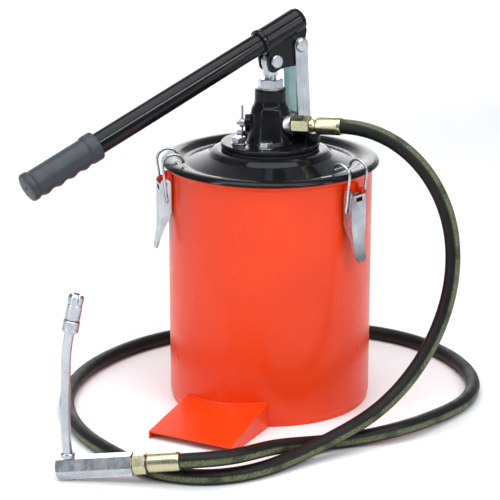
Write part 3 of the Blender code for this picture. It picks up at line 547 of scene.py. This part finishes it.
def cast(bm, voxel, passes):
    """Blend hard joins into soft cast corners."""
    obj = scratch(bm)
    remesh = obj.modifiers.new("remesh", "REMESH")
    remesh.mode = "VOXEL"
    remesh.voxel_size = voxel
    smooth = obj.modifiers.new("smooth", "SMOOTH")
    smooth.factor = 0.5
    smooth.iterations = passes
    out = evaluated(obj)
    mesh = obj.data
    bpy.data.objects.remove(obj)
    bpy.data.meshes.remove(mesh)
    return out


def piece(name, bm, slot, body, stands_for=(), bevel=0.0, parts=2, mat=None, crease=35.0):
    """Named visible object that rides a body and stands for CAD nodes."""
    bmesh.ops.recalc_face_normals(bm, faces=bm.faces)
    mesh = bpy.data.meshes.new(name)
    bm.to_mesh(mesh)
    bm.free()
    obj = bpy.data.objects.new(name, mesh)
    bpy.context.scene.collection.objects.link(obj)
    mesh.materials.append(MATS[mat or slot])
    mesh.shade_smooth()
    if bevel > 0.0:
        mod = obj.modifiers.new("bevel", "BEVEL")
        mod.width = bevel
        mod.segments = parts
        mod.limit_method = "ANGLE"
        mod.angle_limit = BEVEL_ANGLE
        mod.harden_normals = True
    else:
        mesh.set_sharp_from_angle(angle=math.radians(crease))
    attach(obj, body)
    if stands_for:
        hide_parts(*stands_for)
    return obj


def chamfered_hex(af, length, chamfer=0.0012, bore=0.0, turn=0.0, both=True):
    """Hexagon bar or nut with cone chamfers, from z = 0 to its length."""
    corner = af / math.sqrt(3.0)
    low = chamfer if both else 0.0
    cone = [(0.0, 0.0), (corner - 1.7 * low, 0.0), (corner + 0.0002, low + 0.0001),
            (corner + 0.0002, length - chamfer - 0.0001), (corner - 1.7 * chamfer, length), (0.0, length)]
    body = combine(prism_bm(hex_outline(af, turn), 0.0, length), lathe_bm(cone, 72), "INTERSECT")
    if bore > 0.0:
        body = combine(body, moved(rod_bm(bore, length + 0.01, 32), raised(-0.005)))
    return body


# ---------------------------------------------------------------- hose and what is on it
spigot_axis = (SPIGOT_END - SPIGOT_START).normalized()
hose_points = smooth_path(HOSE_ROUTE, 0.0060, OUTLET_DIR, spigot_axis)
hose = piece("hose_tube", sweep_bm(hose_points, HOSE_R, 28), "hose_rubber", "pump", ("hose",))


def ferrule_bm(profile, crimps):
    """Pressed sleeve: a turned profile pulled in to flats around its crimped stretch."""
    bm = lathe_bm(profile, 64)
    low, high = crimps
    for v in bm.verts:
        r = math.hypot(v.co.x, v.co.y)
        if low < v.co.z < high and r > 0.0075:
            turn = math.atan2(v.co.y, v.co.x)
            pull = 0.00012 * (0.5 - 0.5 * math.cos(8.0 * turn))
            v.co.x *= (r - pull) / r
            v.co.y *= (r - pull) / r
    return bm


pump_ferrule = [(0.0, 0.0458), (0.0072, 0.0458), (0.0070, 0.0480), (0.0066, 0.0488), (0.0066, 0.0518),
                (0.0086, 0.0526), (0.0091, 0.0540), (0.0092, 0.0560), (0.0092, 0.0765), (0.0084, 0.0794),
                (0.0, 0.0794)]
pump_end = piece("pump_ferrule", moved(ferrule_bm(rounded(pump_ferrule, 0.0004), (0.0515, 0.0770)),
                                       aim(OUTLET_FOOT, OUTLET_DIR)),
                 "yellow_zinc", "pump", ("hose_ferrule_pump",))
spigot_ferrule = [(0.0, 0.0003), (0.0084, 0.0003), (0.0091, 0.0028), (0.0092, 0.0050), (0.0092, 0.0300),
                  (0.0078, 0.0322), (0.0, 0.0322)]
spigot_sleeve = piece("spigot_ferrule", moved(ferrule_bm(rounded(spigot_ferrule, 0.0004), (0.0040, 0.0295)),
                                              aim(SPIGOT_START, spigot_axis)),
                      "yellow_zinc", "pump", ("hose_ferrule_spigot",))
spigot_nut = piece("spigot_hex", moved(chamfered_hex(0.0185, 0.0125, 0.0010, turn=0.1),
                                       aim(SPIGOT_START, spigot_axis, SPIGOT_NUT_AT)),
                   "yellow_zinc", "pump", ("spigot_nut",), bevel=0.00025)
spigot_len = (SPIGOT_END - SPIGOT_START).length
spigot_bar = piece("spigot_bar", moved(chamfered_hex(0.0200, spigot_len - SPIGOT_BAR_AT, 0.0014),
                                       aim(SPIGOT_START, spigot_axis, SPIGOT_BAR_AT)),
                   "white_zinc", "pump", ("spigot_body",), bevel=0.0003)
tube_points = smooth_path(SPIGOT_TUBE, 0.0030)
piece("spigot_pipe", sweep_bm(tube_points, SPIGOT_PIPE_R, 32), "white_zinc", "pump", ("spigot_tube",))
collar_profile = rounded([(0.0048, 0.0), (0.0068, 0.0), (0.0068, 0.0030), (0.0060, 0.0045),
                          (0.0048, 0.0045)], 0.0006)
collar_at = Matrix.Translation(Vector(SPIGOT_TUBE[0]) + Vector((0.0, 0.0, 0.0006)))
spigot_collar = piece("spigot_ring", moved(lathe_bm(collar_profile, 48), collar_at),
                      "white_zinc", "pump", ("spigot_collar",))
sleeve_profile = rounded([(0.0048, 0.0), (0.0070, 0.0), (0.0078, 0.0010), (0.0078, 0.0035),
                          (0.0074, 0.0040), (0.0078, 0.0045), (0.0078, 0.0110), (0.0070, 0.0120),
                          (0.0048, 0.0120)], 0.0003)
piece("coupler_sleeve", moved(lathe_bm(sleeve_profile, 48), aim(COUPLER_FROM, COUPLER_DIR, -0.0070)),
      "white_zinc", "pump", ("coupler_collar",))
nose_profile = rounded([(0.0, 0.0055), (0.0066, 0.0055), (0.0072, 0.0062), (0.0072, 0.0200),
                        (0.0068, 0.0206), (0.0068, 0.0214), (0.0072, 0.0220), (0.0072, 0.0280),
                        (0.0056, 0.0305), (0.0030, 0.0305), (0.0030, 0.0180), (0.0, 0.0180)], 0.0003)
nose = lathe_bm(nose_profile, 64)
for turn in (0.0, 90.0):
    slit = prism_bm([(-0.0004, -0.01), (0.0004, -0.01), (0.0004, 0.01), (-0.0004, 0.01)], 0.0240, 0.0400)
    nose = combine(nose, moved(slit, Matrix.Rotation(math.radians(turn + 20.0), 4, "Z")))
piece("coupler_nose", moved(nose, aim(COUPLER_FROM, COUPLER_DIR)), "white_zinc", "pump", ("coupler_body",))
outlet_nut = piece("outlet_hex", moved(chamfered_hex(0.0172, 0.0194, 0.0012, turn=0.5),
                                       aim(OUTLET_FOOT, OUTLET_DIR, 0.0261)),
                   "yellow_zinc", "pump", ("hose_nut",), bevel=0.00025)

# ---------------------------------------------------------------- bucket
shell = [(0.0993, 0.0), (0.1035, 0.0), (0.1037, 0.0050), (SHELL_R, 0.0080), (SHELL_R, 0.2478),
         (0.1066, 0.2484), (0.1082, 0.2500), (0.1086, 0.2518), (0.1078, 0.2532), (0.1062, 0.2536),
         (0.1046, 0.2530), (0.1038, 0.2512), (0.1038, 0.0086), (0.1024, 0.0058), (0.0993, 0.0046)]
piece("bucket_wall", lathe_bm(rounded(shell, 0.0008), 192), "orange_paint", "pump", ("bucket_shell",))


def foot_top(t, side):
    """Height of the foot plate's upper face, a part t of the way out and a part side of the way across."""
    left_z = FOOT_REAR_Z_LEFT + (FOOT_FRONT_Z - FOOT_REAR_Z_LEFT) * t
    right_z = FOOT_REAR_Z_RIGHT + (FOOT_FRONT_Z - FOOT_REAR_Z_RIGHT) * t
    return left_z + (right_z - left_z) * side


FOOT_IN = FOOT_HALF_W - FOOT_T
stations = []
for i in range(13):
    t = i / 12.0
    reach = FOOT_REAR + (FOOT_FRONT - FOOT_REAR) * t
    section = [(-FOOT_HALF_W, FOOT_LOW_Z)]
    for k in range(9):
        section.append((FOOT_HALF_W * (k / 4.0 - 1.0), foot_top(t, k / 8.0)))
    section += [(FOOT_HALF_W, FOOT_LOW_Z), (FOOT_IN, FOOT_LOW_Z)]
    for k in range(9):
        section.append((FOOT_IN * (1.0 - k / 4.0), foot_top(t, 1.0 - k / 8.0) - FOOT_T))
    section.append((-FOOT_IN, FOOT_LOW_Z))
    stations.append([(reach, v, z) for v, z in section])
plate = loft_bm(stations)
bmesh.ops.triangulate(plate, faces=plate.faces)
plate = moved(plate, Matrix.Rotation(FOOT_ANGLE, 4, "Z"))
plate = combine(plate, moved(rod_bm(SHELL_CUT_R, 0.08, 192), raised(-0.02)))
piece("foot_plate", plate, "orange_paint", "pump", ("footplate",), bevel=0.0006, parts=3)
WELD_AT = SHELL_R + 0.0006
WELD_HALF_W = 0.0450
bead = []
for i in range(60):
    v = WELD_HALF_W * (2.0 * i / 59.0 - 1.0)
    reach = math.sqrt(WELD_AT ** 2 - v * v)
    t = (reach - FOOT_REAR) / (FOOT_FRONT - FOOT_REAR)
    height = foot_top(t, 0.5 + 0.5 * v / FOOT_HALF_W) + 0.0002
    wobble = 0.0002 * math.sin(i * 2.3)
    bead.append(Matrix.Rotation(FOOT_ANGLE, 3, "Z") @ Vector((reach + wobble, v, height)))
piece("foot_weld", sweep_bm(bead, 0.0012, 10), "orange_paint", "pump")

# ---------------------------------------------------------------- lid
lid = [(0.0178, 0.2665), (0.0550, 0.2665), (0.0590, 0.2652), (0.0640, 0.2608), (0.0720, 0.2580),
       (0.0820, 0.2546), (0.0868, 0.2532), (0.0900, 0.2534), (0.0935, 0.2552), (0.0970, 0.2572),
       (0.1010, 0.2584), (0.1045, 0.2586), (0.1080, 0.2580), (0.1106, 0.2566), (0.1118, 0.2552),
       (0.1122, 0.2534), (0.1110, 0.2534), (0.1100, 0.2553), (0.1076, 0.2568), (0.1045, 0.2574),
       (0.1012, 0.2572), (0.0976, 0.2561), (0.0903, 0.2522), (0.0858, 0.2520), (0.0712, 0.2567),
       (0.0633, 0.2597), (0.0582, 0.2641), (0.0546, 0.2653), (0.0178, 0.2653)]
piece("lid_plate", lathe_bm(rounded(lid, 0.0050, 5), 192), "black_enamel", "pump", ("lid",))

# ---------------------------------------------------------------- pump head
flange = [(0.0168, FLANGE_LOW_Z), (0.0499, FLANGE_LOW_Z), (0.0505, FLANGE_LOW_Z + 0.0006),
          (0.0505, FLANGE_TOP_Z - 0.0008), (0.0497, FLANGE_TOP_Z), (0.0168, FLANGE_TOP_Z)]
piece("head_flange", lathe_bm(rounded(flange, 0.0008), 128), "black_enamel", "pump", ("pump_body",),
      mat="cast_enamel")
column = [(0.0172, 0.2705), (0.0290, 0.2705), (0.0262, 0.2736), (0.0240, 0.2752), (0.0226, 0.2800),
          (0.0212, 0.2920), (0.0202, 0.3040), (0.0190, 0.3092), (0.0170, 0.3120), (0.0162, 0.3160),
          (0.0160, BODY_TOP), (0.0095, BODY_TOP), (0.0095, 0.3160), (0.0066, 0.3160), (0.0066, 0.2850),
          (0.0172, 0.2850)]
head = lathe_bm(rounded(column, 0.0012), 96)
lug = [(0.0150, 0.2705), (LINK_PIN[0] + LUG_R, 0.2705)]
lug += arc(LINK_PIN, LUG_R, 0.0, math.pi / 2.0, 12)
lug += [(0.0150, 0.2990)]
for boss in (moved(rod_bm(0.0125, 0.0064, 48, 0.0008), aim(OUTLET_FOOT, OUTLET_DIR, 0.0118)),
             moved(rod_bm(0.0088, 0.0130, 48, 0.0008), aim(BLEED_FOOT, BLEED_DIR, 0.0130)),
             moved(prism_bm(lug, -CHEEK_OUT, CHEEK_OUT), UPRIGHT),
             moved(rod_bm(0.0100, 0.0120, 48, 0.0010), Matrix.Translation((0.0356, -0.0213, 0.2705)))):
    head = combine(head, boss, "UNION")
head = combine(head, moved(rod_bm(0.0174, 0.0251, 64), raised(0.2600)))
head = combine(head, moved(rod_bm(0.0114, 0.0200, 64), aim(OUTLET_FOOT, OUTLET_DIR, 0.0182)))
head = cast(head, 0.0007, 5)
piece("head_casting", head, "black_enamel", "pump", ("pump_body",), mat="cast_enamel", crease=80.0)

for number, degrees in enumerate(BOLT_ANGLES, start=1):
    a = math.radians(degrees)
    spot = Matrix.Translation((BOLT_PITCH_R * math.cos(a), BOLT_PITCH_R * math.sin(a), BOLTS_FROM_Z))
    hex_head = moved(chamfered_hex(0.0130, 0.0060, 0.0010, turn=0.3 * number, both=False), raised(0.0010))
    piece("bolt_head_" + str(number), moved(hex_head, spot), "white_zinc", "pump",
          ("flange_bolt_" + str(number),), bevel=0.0002)
    washer = rounded([(0.0032, 0.0), (0.0080, 0.0), (0.0080, 0.0009), (0.0032, 0.0009)], 0.0003)
    piece("bolt_washer_" + str(number), moved(lathe_bm(washer, 48), spot), "white_zinc", "pump")

nut = chamfered_hex(0.0235, 0.0100, 0.0014, bore=0.0064, turn=0.2)
piece("gland_hex", moved(nut, raised(BODY_TOP + 0.0003)), "white_zinc", "pump", ("gland_nut",), bevel=0.0003)
ring = rounded([(0.0066, 0.0), (0.0138, 0.0), (0.0138, 0.0012), (0.0066, 0.0012)], 0.0004)
piece("gland_ring", moved(lathe_bm(ring, 64), raised(BODY_TOP - 0.0001)), "white_zinc", "pump")

screw = rounded([(0.0, 0.0200), (0.0022, 0.0200), (0.0022, 0.0262), (0.0045, 0.0264), (0.0045, 0.0308),
                 (0.0030, 0.0316), (0.0018, 0.0318), (0.0018, 0.0345), (0.0, 0.0345)], 0.0003)
piece("bleed_stem", moved(lathe_bm(screw, 48), aim(BLEED_FOOT, BLEED_DIR)), "white_zinc", "pump",
      ("bleed_screw",))
cross_at = Matrix.Translation(BLEED_FOOT + BLEED_DIR * 0.0286 - Vector((0.0, 0.0, 0.0150)))
piece("bleed_cross", moved(rod_bm(0.0011, 0.0330, 24, 0.0004), cross_at), "plain_steel", "pump",
      ("bleed_bar",))
collar = rounded([(0.0052, 0.0), (0.0110, 0.0), (0.0110, 0.0073), (0.0052, 0.0073)], 0.0008)
piece("outlet_washer", moved(lathe_bm(collar, 64), aim(OUTLET_FOOT, OUTLET_DIR, 0.0185)),
      "white_zinc", "pump", ("outlet_collar",))

# ---------------------------------------------------------------- plunger
eye = arc(EYE_CENTRE, EYE_R, 0.0, math.pi, 32)
eye += [(-0.0080, 0.3540), (-0.0056, 0.3470), (-0.0054, 0.3412), (0.0054, 0.3412), (0.0056, 0.3470),
        (0.0080, 0.3540)]
rod = combine(moved(rod_bm(ROD_R, 0.2782, 64, 0.0005), raised(0.0643)),
              moved(prism_bm(eye, -0.0050, 0.0050), UPRIGHT), "UNION")
rod = combine(rod, moved(rod_bm(0.0061, 0.03, 48), across(EYE_CENTRE, 0.015)))
piece("plunger", rod, "plain_steel", "plunger", ("plunger_rod",), bevel=0.0004, mat="white_zinc")

# ---------------------------------------------------------------- links and pins
lean = math.atan2(FULCRUM[1] - LINK_PIN[1], FULCRUM[0] - LINK_PIN[0])
link = arc(FULCRUM, LINK_HALF_W, lean - math.pi / 2.0, math.pi, 24)
link += arc(LINK_PIN, LINK_HALF_W, lean + math.pi / 2.0, math.pi, 24)
# the rear link plate takes the darker copy of the white zinc, painted shade standing for its shadow behind
# the front plate
for name, low, high in (("link_front", LINK_IN, LINK_OUT), ("link_rear", -LINK_OUT, -LINK_IN)):
    piece("plate_" + name, moved(prism_bm(link, low, high), UPRIGHT), "white_zinc", "links", (name,),
          bevel=0.0005, parts=3, mat="white_zinc" if low > 0.0 else "painted_shade_zinc")


def pin_bm(half, radius, head_r, head_t):
    """Pin centred on the origin along Z, with a soft head at each end."""
    profile = [(0.0, -half - head_t), (head_r - 0.0010, -half - head_t), (head_r, -half - head_t + 0.0010),
               (head_r, -half), (radius, -half), (radius, half), (head_r, half),
               (head_r, half + head_t - 0.0010), (head_r - 0.0010, half + head_t), (0.0, half + head_t)]
    return lathe_bm(rounded(profile, 0.0006), 64)


piece("pin_link", moved(pin_bm(PIN_HALF, PIN_R, 0.0062, 0.0028), across(LINK_PIN)),
      "white_zinc", "links", ("link_pin",))
piece("pin_fulcrum", moved(pin_bm(PIN_HALF, PIN_R, 0.0072, 0.0030), across(FULCRUM)),
      "white_zinc", "links", ("fulcrum_bolt",))
plunger_pin = rounded([(0.0, -0.0126), (0.0060, -0.0126), (0.0068, -0.0118), (0.0068, -0.0096),
                       (0.0035, -0.0096), (0.0035, 0.0094), (0.0, 0.0094)], 0.0006)
piece("pin_plunger", moved(lathe_bm(plunger_pin, 64), aim((PLUNGER_PIN[0], 0.0, PLUNGER_PIN[1]), (0, 1, 0))),
      "white_zinc", "lever", ("plunger_pin",))

# ---------------------------------------------------------------- lever
socket = rounded([(0.0, 0.0), (0.0134, 0.0), (0.0138, 0.0006), (0.0138, 0.0040), (0.0128, 0.0048),
                  (0.0128, 0.0490), (0.0118, 0.0530), (0.0095, 0.0550), (0.0, 0.0550)], 0.0012)
socket_at = aim(LEVER_ZERO, LEVER_AXIS, SOCKET_MOUTH)
socket_bm = combine(lathe_bm(socket, 96), moved(rod_bm(TUBE_R + 0.0001, 0.0610, 64), raised(-0.0100)))
piece("socket_sleeve", moved(socket_bm, socket_at), "black_enamel", "lever", ("lever_socket",))


def lever_point(along, below):
    """Side view (x, z) of a spot along the lever's axis and below it."""
    p = LEVER_ZERO + LEVER_AXIS * along - LEVER_NORMAL * below
    return (p.x, p.z)


cheek = [lever_point(-0.0125, 0.0080), lever_point(-0.0125, 0.0121), (-0.0096, 0.3620), (-0.0090, 0.3570),
         (-0.0080, 0.3505), (-0.0066, 0.3482), (-0.0050, 0.3468), (-0.0020, 0.3460), (0.0020, 0.3470),
         (0.0060, 0.3488), (0.0120, 0.3498), (0.0250, 0.3505), (0.0282, 0.3515), (0.0300, 0.3530),
         (0.0340, 0.3600)]
cheek += arc(FULCRUM, 0.0090, math.radians(-35.0), math.radians(75.0), 11)
cheek += [lever_point(0.0370, 0.0110), lever_point(0.0370, 0.0080)]
for name, low, high in (("front", CHEEK_IN, CHEEK_OUT), ("rear", -CHEEK_OUT, -CHEEK_IN)):
    plate = moved(prism_bm(cheek, low, high), UPRIGHT)
    plate = combine(plate, moved(rod_bm(0.0120, 0.0700, 64), aim(LEVER_ZERO, LEVER_AXIS, -0.0250)))
    plate = combine(plate, moved(rod_bm(0.0037, 0.04, 48), across(PLUNGER_PIN, 0.02)))
    plate = combine(plate, moved(rod_bm(PIN_R + 0.0002, 0.04, 48), across(FULCRUM, 0.02)))
    piece("cheek_" + name, plate, "black_enamel", "lever", bevel=0.0008, parts=3)
tube = rounded([(0.0094, 0.0), (TUBE_R, 0.0), (TUBE_R, TUBE_LONG), (0.0094, TUBE_LONG)], 0.0004)
piece("lever_tube", moved(lathe_bm(tube, 96), aim(LEVER_ZERO, LEVER_AXIS, TUBE_FROM)),
      "black_enamel", "lever", ("handle_tube",))

GRIP_EDGE_R = 0.0020
COLLAR_EXTRA = 0.0012
COLLAR_TO = 0.0062
END_EXTRA = 0.0014
grip_rings = []
for i in range(121):
    s = GRIP_LONG * i / 120.0
    edge = min(s, GRIP_LONG - s)
    base = GRIP_R
    if s < COLLAR_TO:
        base = GRIP_R + COLLAR_EXTRA
    elif s < LOBES_FROM:
        base = GRIP_R + COLLAR_EXTRA * (LOBES_FROM - s) / (LOBES_FROM - COLLAR_TO)
    if s > LOBES_TO:
        base = GRIP_R + END_EXTRA * min(1.0, (s - LOBES_TO) / 0.0030)
    if edge < GRIP_EDGE_R:
        base -= GRIP_EDGE_R - math.sqrt(max(0.0, GRIP_EDGE_R ** 2 - (GRIP_EDGE_R - edge) ** 2))
    wave = 0.0
    if LOBES_FROM < s < LOBES_TO:
        wave = LOBE_DEEP * (0.5 - 0.5 * math.cos(2.0 * math.pi * (s - LOBES_FROM) / LOBE_PITCH))
    ring_points = []
    for k in range(64):
        a = 2.0 * math.pi * k / 64.0
        under = max(0.0, -math.sin(a)) ** 1.2
        r = base + wave * under
        ring_points.append((r * math.cos(a), r * math.sin(a), s))
    grip_rings.append(ring_points)
lever_turn = Matrix((
    (0.0, LEVER_NORMAL.x, LEVER_AXIS.x, 0.0),
    (1.0, LEVER_NORMAL.y, LEVER_AXIS.y, 0.0),
    (0.0, LEVER_NORMAL.z, LEVER_AXIS.z, 0.0),
    (0.0, 0.0, 0.0, 1.0)))
grip = loft_bm(grip_rings)
grip = combine(grip, moved(rod_bm(TUBE_R, 0.0800, 64), raised(0.0066)))
grip = combine(grip, moved(rod_bm(0.0018, 0.0200, 32), raised(-0.0100)))
grip_at = Matrix.Translation(LEVER_ZERO + LEVER_AXIS * GRIP_FROM)
piece("grip_sleeve", moved(grip, grip_at @ lever_turn), "grip_rubber", "lever", ("hand_grip",), crease=50.0)

# ---------------------------------------------------------------- latches
bracket_side = [(0.1070, 0.2120), (0.1054, 0.2120), (0.1054, 0.2474), (0.1088, 0.2471), (0.1112, 0.2412)]
bracket_side += arc(LATCH_P1, 0.0039, math.radians(105.0), math.radians(-195.0), 16)
bracket_side.append((0.1100, 0.2290))
lever_sections = []
for degrees in (84.0, 75.0, 65.0, 52.0, 40.0, 27.0, 15.0):
    height = LATCH_P1[1] + 0.0054 * math.sin(math.radians(degrees))
    reach = 0.0054 * math.cos(math.radians(degrees))
    lever_sections.append((height, LATCH_P1[0] - reach, LATCH_P1[0] + reach, LATCH_HALF_W))
lever_sections += [(0.2380, 0.1071, 0.1180, LATCH_HALF_W), (0.2080, 0.1071, 0.1180, LATCH_HALF_W),
                   (0.2000, 0.1092, 0.1180, 0.0100), (0.1930, 0.1130, 0.1184, 0.0088),
                   (0.1850, 0.1160, 0.1193, 0.0082), (0.1780, 0.1186, 0.1206, 0.0080),
                   (0.1745, 0.1195, 0.1213, 0.0076), (0.1720, 0.1203, 0.1220, 0.0068),
                   (0.1702, 0.1208, 0.1224, 0.0058), (0.1690, 0.1212, 0.1227, 0.0045)]
hollow_sections = [(0.2500, 0.1000, 0.1167, 0.0097), (0.2080, 0.1000, 0.1167, 0.0097),
                   (0.2000, 0.1000, 0.1167, 0.0087), (0.1930, 0.1000, 0.1171, 0.0075),
                   (0.1850, 0.1000, 0.1180, 0.0069), (0.1780, 0.1000, 0.1193, 0.0067),
                   (0.1680, 0.1000, 0.1213, 0.0050)]


def rectangle(x0, x1, z0, z1):
    return [(x0, z0), (x1, z0), (x1, z1), (x0, z1)]


rivet = rounded([(0.0, 0.0), (0.0022, 0.0), (0.0018, 0.0010), (0.0008, 0.0014), (0.0, 0.0014)], 0.0003)
for number, degrees in enumerate(LATCH_ANGLES, start=1):
    tag = "_" + str(number)
    turn = Matrix.Rotation(math.radians(degrees), 4, "Z")
    stand = turn @ UPRIGHT
    bracket = combine(prism_bm(bracket_side, -BRACKET_HALF_W, BRACKET_HALF_W),
                      prism_bm(rectangle(0.1068, 0.1300, 0.2000, 0.2600), -0.0080, 0.0080))
    piece("catch_bracket" + tag, moved(bracket, stand), "orange_paint", "pump", ("latch_bracket" + tag,),
          bevel=0.0003)
    for letter, row in (("a", -0.0045), ("b", 0.0045)):
        rivet_bm = moved(lathe_bm(rivet, 32), turn @ aim((0.1068, row, 0.2180), (1.0, 0.0, 0.0)))
        piece("catch_rivet" + tag + letter, rivet_bm, "orange_paint", "pump")
    piece("catch_pin" + tag, moved(rod_bm(0.0015, 0.0226, 24, 0.0004), turn @ across(LATCH_P1, 0.0113)),
          "white_zinc", "pump", ("latch_pin" + tag,))
    handle = combine(box_loft_bm(lever_sections), box_loft_bm(hollow_sections))
    for low, high, half in ((0.2376, 0.2600, 0.0096), (0.2308, 0.2354, 0.0050)):
        window = moved(prism_bm(rectangle(0.1150, 0.1300, low, high), -half, half), UPRIGHT)
        handle = combine(handle, window)
    for spot in (LATCH_P1, LATCH_P2):
        handle = combine(handle, moved(rod_bm(0.0017, 0.04, 24), across(spot, 0.02)))
    piece("catch_lever" + tag, moved(handle, turn), "white_zinc", "latch_" + str(number),
          ("latch_lever" + tag,), bevel=0.0003)
    path = []
    for side in (-1.0, 1.0):
        leg = [(LATCH_P2[0], 0.0088, LATCH_P2[1]), (LATCH_P2[0], 0.0118, LATCH_P2[1]),
               (LATCH_P2[0] + 0.0001, 0.0127, LATCH_P2[1] + 0.0010), (0.1125, 0.0130, 0.2282),
               (0.1137, 0.0132, 0.2383), (0.1148, 0.0134, 0.2484), (0.1160, 0.0135, 0.2585)]
        for i in range(1, 16):
            a = math.pi * i / 16.0
            leg.append((0.1053 + 0.0107 * math.cos(a), 0.0135,
                        0.2585 + 0.0022 * i / 16.0 + 0.0092 * math.sin(a)))
        leg += [(0.0945, 0.0133, 0.2606), (0.0945, 0.0122, 0.2602), (0.0945, 0.0060, 0.2602)]
        if side > 0:
            leg.reverse()
        path += [(x, y * side, z) for x, y, z in leg]
    wire = moved(sweep_bm(smooth_path(path, 0.0011), WIRE_R, 16), turn)
    piece("catch_wire" + tag, wire, "white_zinc", "bail_" + str(number), ("latch_bail" + tag,))

# ---------------------------------------------------------------- nodes carried over from the CAD
slots = {entry["node"]: entry["material_slot"] for entry in frame["record"]["subparts"]}
for name, node in frame["nodes"].items():
    if not node.hide_render:
        node.data.materials.clear()
        node.data.materials.append(MATS[slots[name]])

# ---------------------------------------------------------------- floor, light and world
floor_mat, floor_tree, floor_shader = node_tree("floor_pale")
floor_coord = floor_tree.nodes.new("ShaderNodeTexCoord").outputs["Object"]
floor_tone = spread(floor_tree, noise(floor_tree, floor_coord, 3.0, 3.0), 0.3, 0.7, 0.0, 1.0)
floor_tree.links.new(mix(floor_tree, floor_tone, (0.88, 0.88, 0.88), (0.90, 0.90, 0.90)),
                     floor_shader.inputs["Base Color"])
floor_shader.inputs["Roughness"].default_value = 0.75
FLOOR_REACH = 6.0
FLOOR_BACK = 2.2
FLOOR_CURVE_R = 1.2
WORLD_STRENGTH = 0.28
sweep_line = [(-FLOOR_REACH, 0.0), (FLOOR_BACK, 0.0)]
for i in range(1, 17):
    a = math.pi / 2.0 * i / 16.0
    sweep_line.append((FLOOR_BACK + FLOOR_CURVE_R * math.sin(a), FLOOR_CURVE_R * (1.0 - math.cos(a))))
sweep_line.append((FLOOR_BACK + FLOOR_CURVE_R, 4.0))
floor_bm = bmesh.new()
left = [floor_bm.verts.new((-FLOOR_REACH, y, z)) for y, z in sweep_line]
right_side = [floor_bm.verts.new((FLOOR_REACH, y, z)) for y, z in sweep_line]
for i in range(len(sweep_line) - 1):
    floor_bm.faces.new((left[i], right_side[i], right_side[i + 1], left[i + 1]))
moved(floor_bm, Matrix.Rotation(math.radians(-33.0), 4, "Z"))
floor_mesh = bpy.data.meshes.new("floor")
floor_bm.to_mesh(floor_mesh)
floor_bm.free()
floor_mesh.shade_smooth()
floor_mesh.materials.append(floor_mat)
floor = bpy.data.objects.new("floor", floor_mesh)
bpy.context.scene.collection.objects.link(floor)

world = bpy.data.worlds.new("world")
world.use_nodes = True
world.node_tree.nodes["Background"].inputs["Color"].default_value = (0.92, 0.95, 1.0, 1.0)
world.node_tree.nodes["Background"].inputs["Strength"].default_value = WORLD_STRENGTH
bpy.context.scene.world = world


def softbox(name, place, target, size, power, tint=(1.0, 1.0, 1.0)):
    """Rectangular area light at a place, facing a target."""
    data = bpy.data.lights.new(name, "AREA")
    data.shape = "RECTANGLE"
    data.size = size[0]
    data.size_y = size[1]
    data.energy = power
    data.color = tint
    obj = bpy.data.objects.new(name, data)
    obj.location = place
    obj.rotation_euler = (Vector(target) - Vector(place)).to_track_quat("-Z", "Y").to_euler()
    bpy.context.scene.collection.objects.link(obj)


CENTRE = (0.0, 0.0, 0.2)
softbox("top_box", (-0.5, -0.4, 2.4), CENTRE, (2.6, 2.6), 66.0, (0.95, 0.97, 1.0))
softbox("left_box", (-1.9, 0.0, 0.9), CENTRE, (0.30, 1.6), 12.0, (0.95, 0.98, 1.0))
softbox("right_box", (0.9, -1.7, 0.9), CENTRE, (0.30, 1.5), 5.0)
softbox("key_box", (0.25, -1.95, 1.65), (-0.1, 0.0, 0.3), (0.9, 0.40), 17.0, (0.93, 0.96, 1.0))
softbox("back_box", (1.2, 2.0, 1.6), (1.2, 3.4, 0.6), (2.4, 1.2), 60.0)
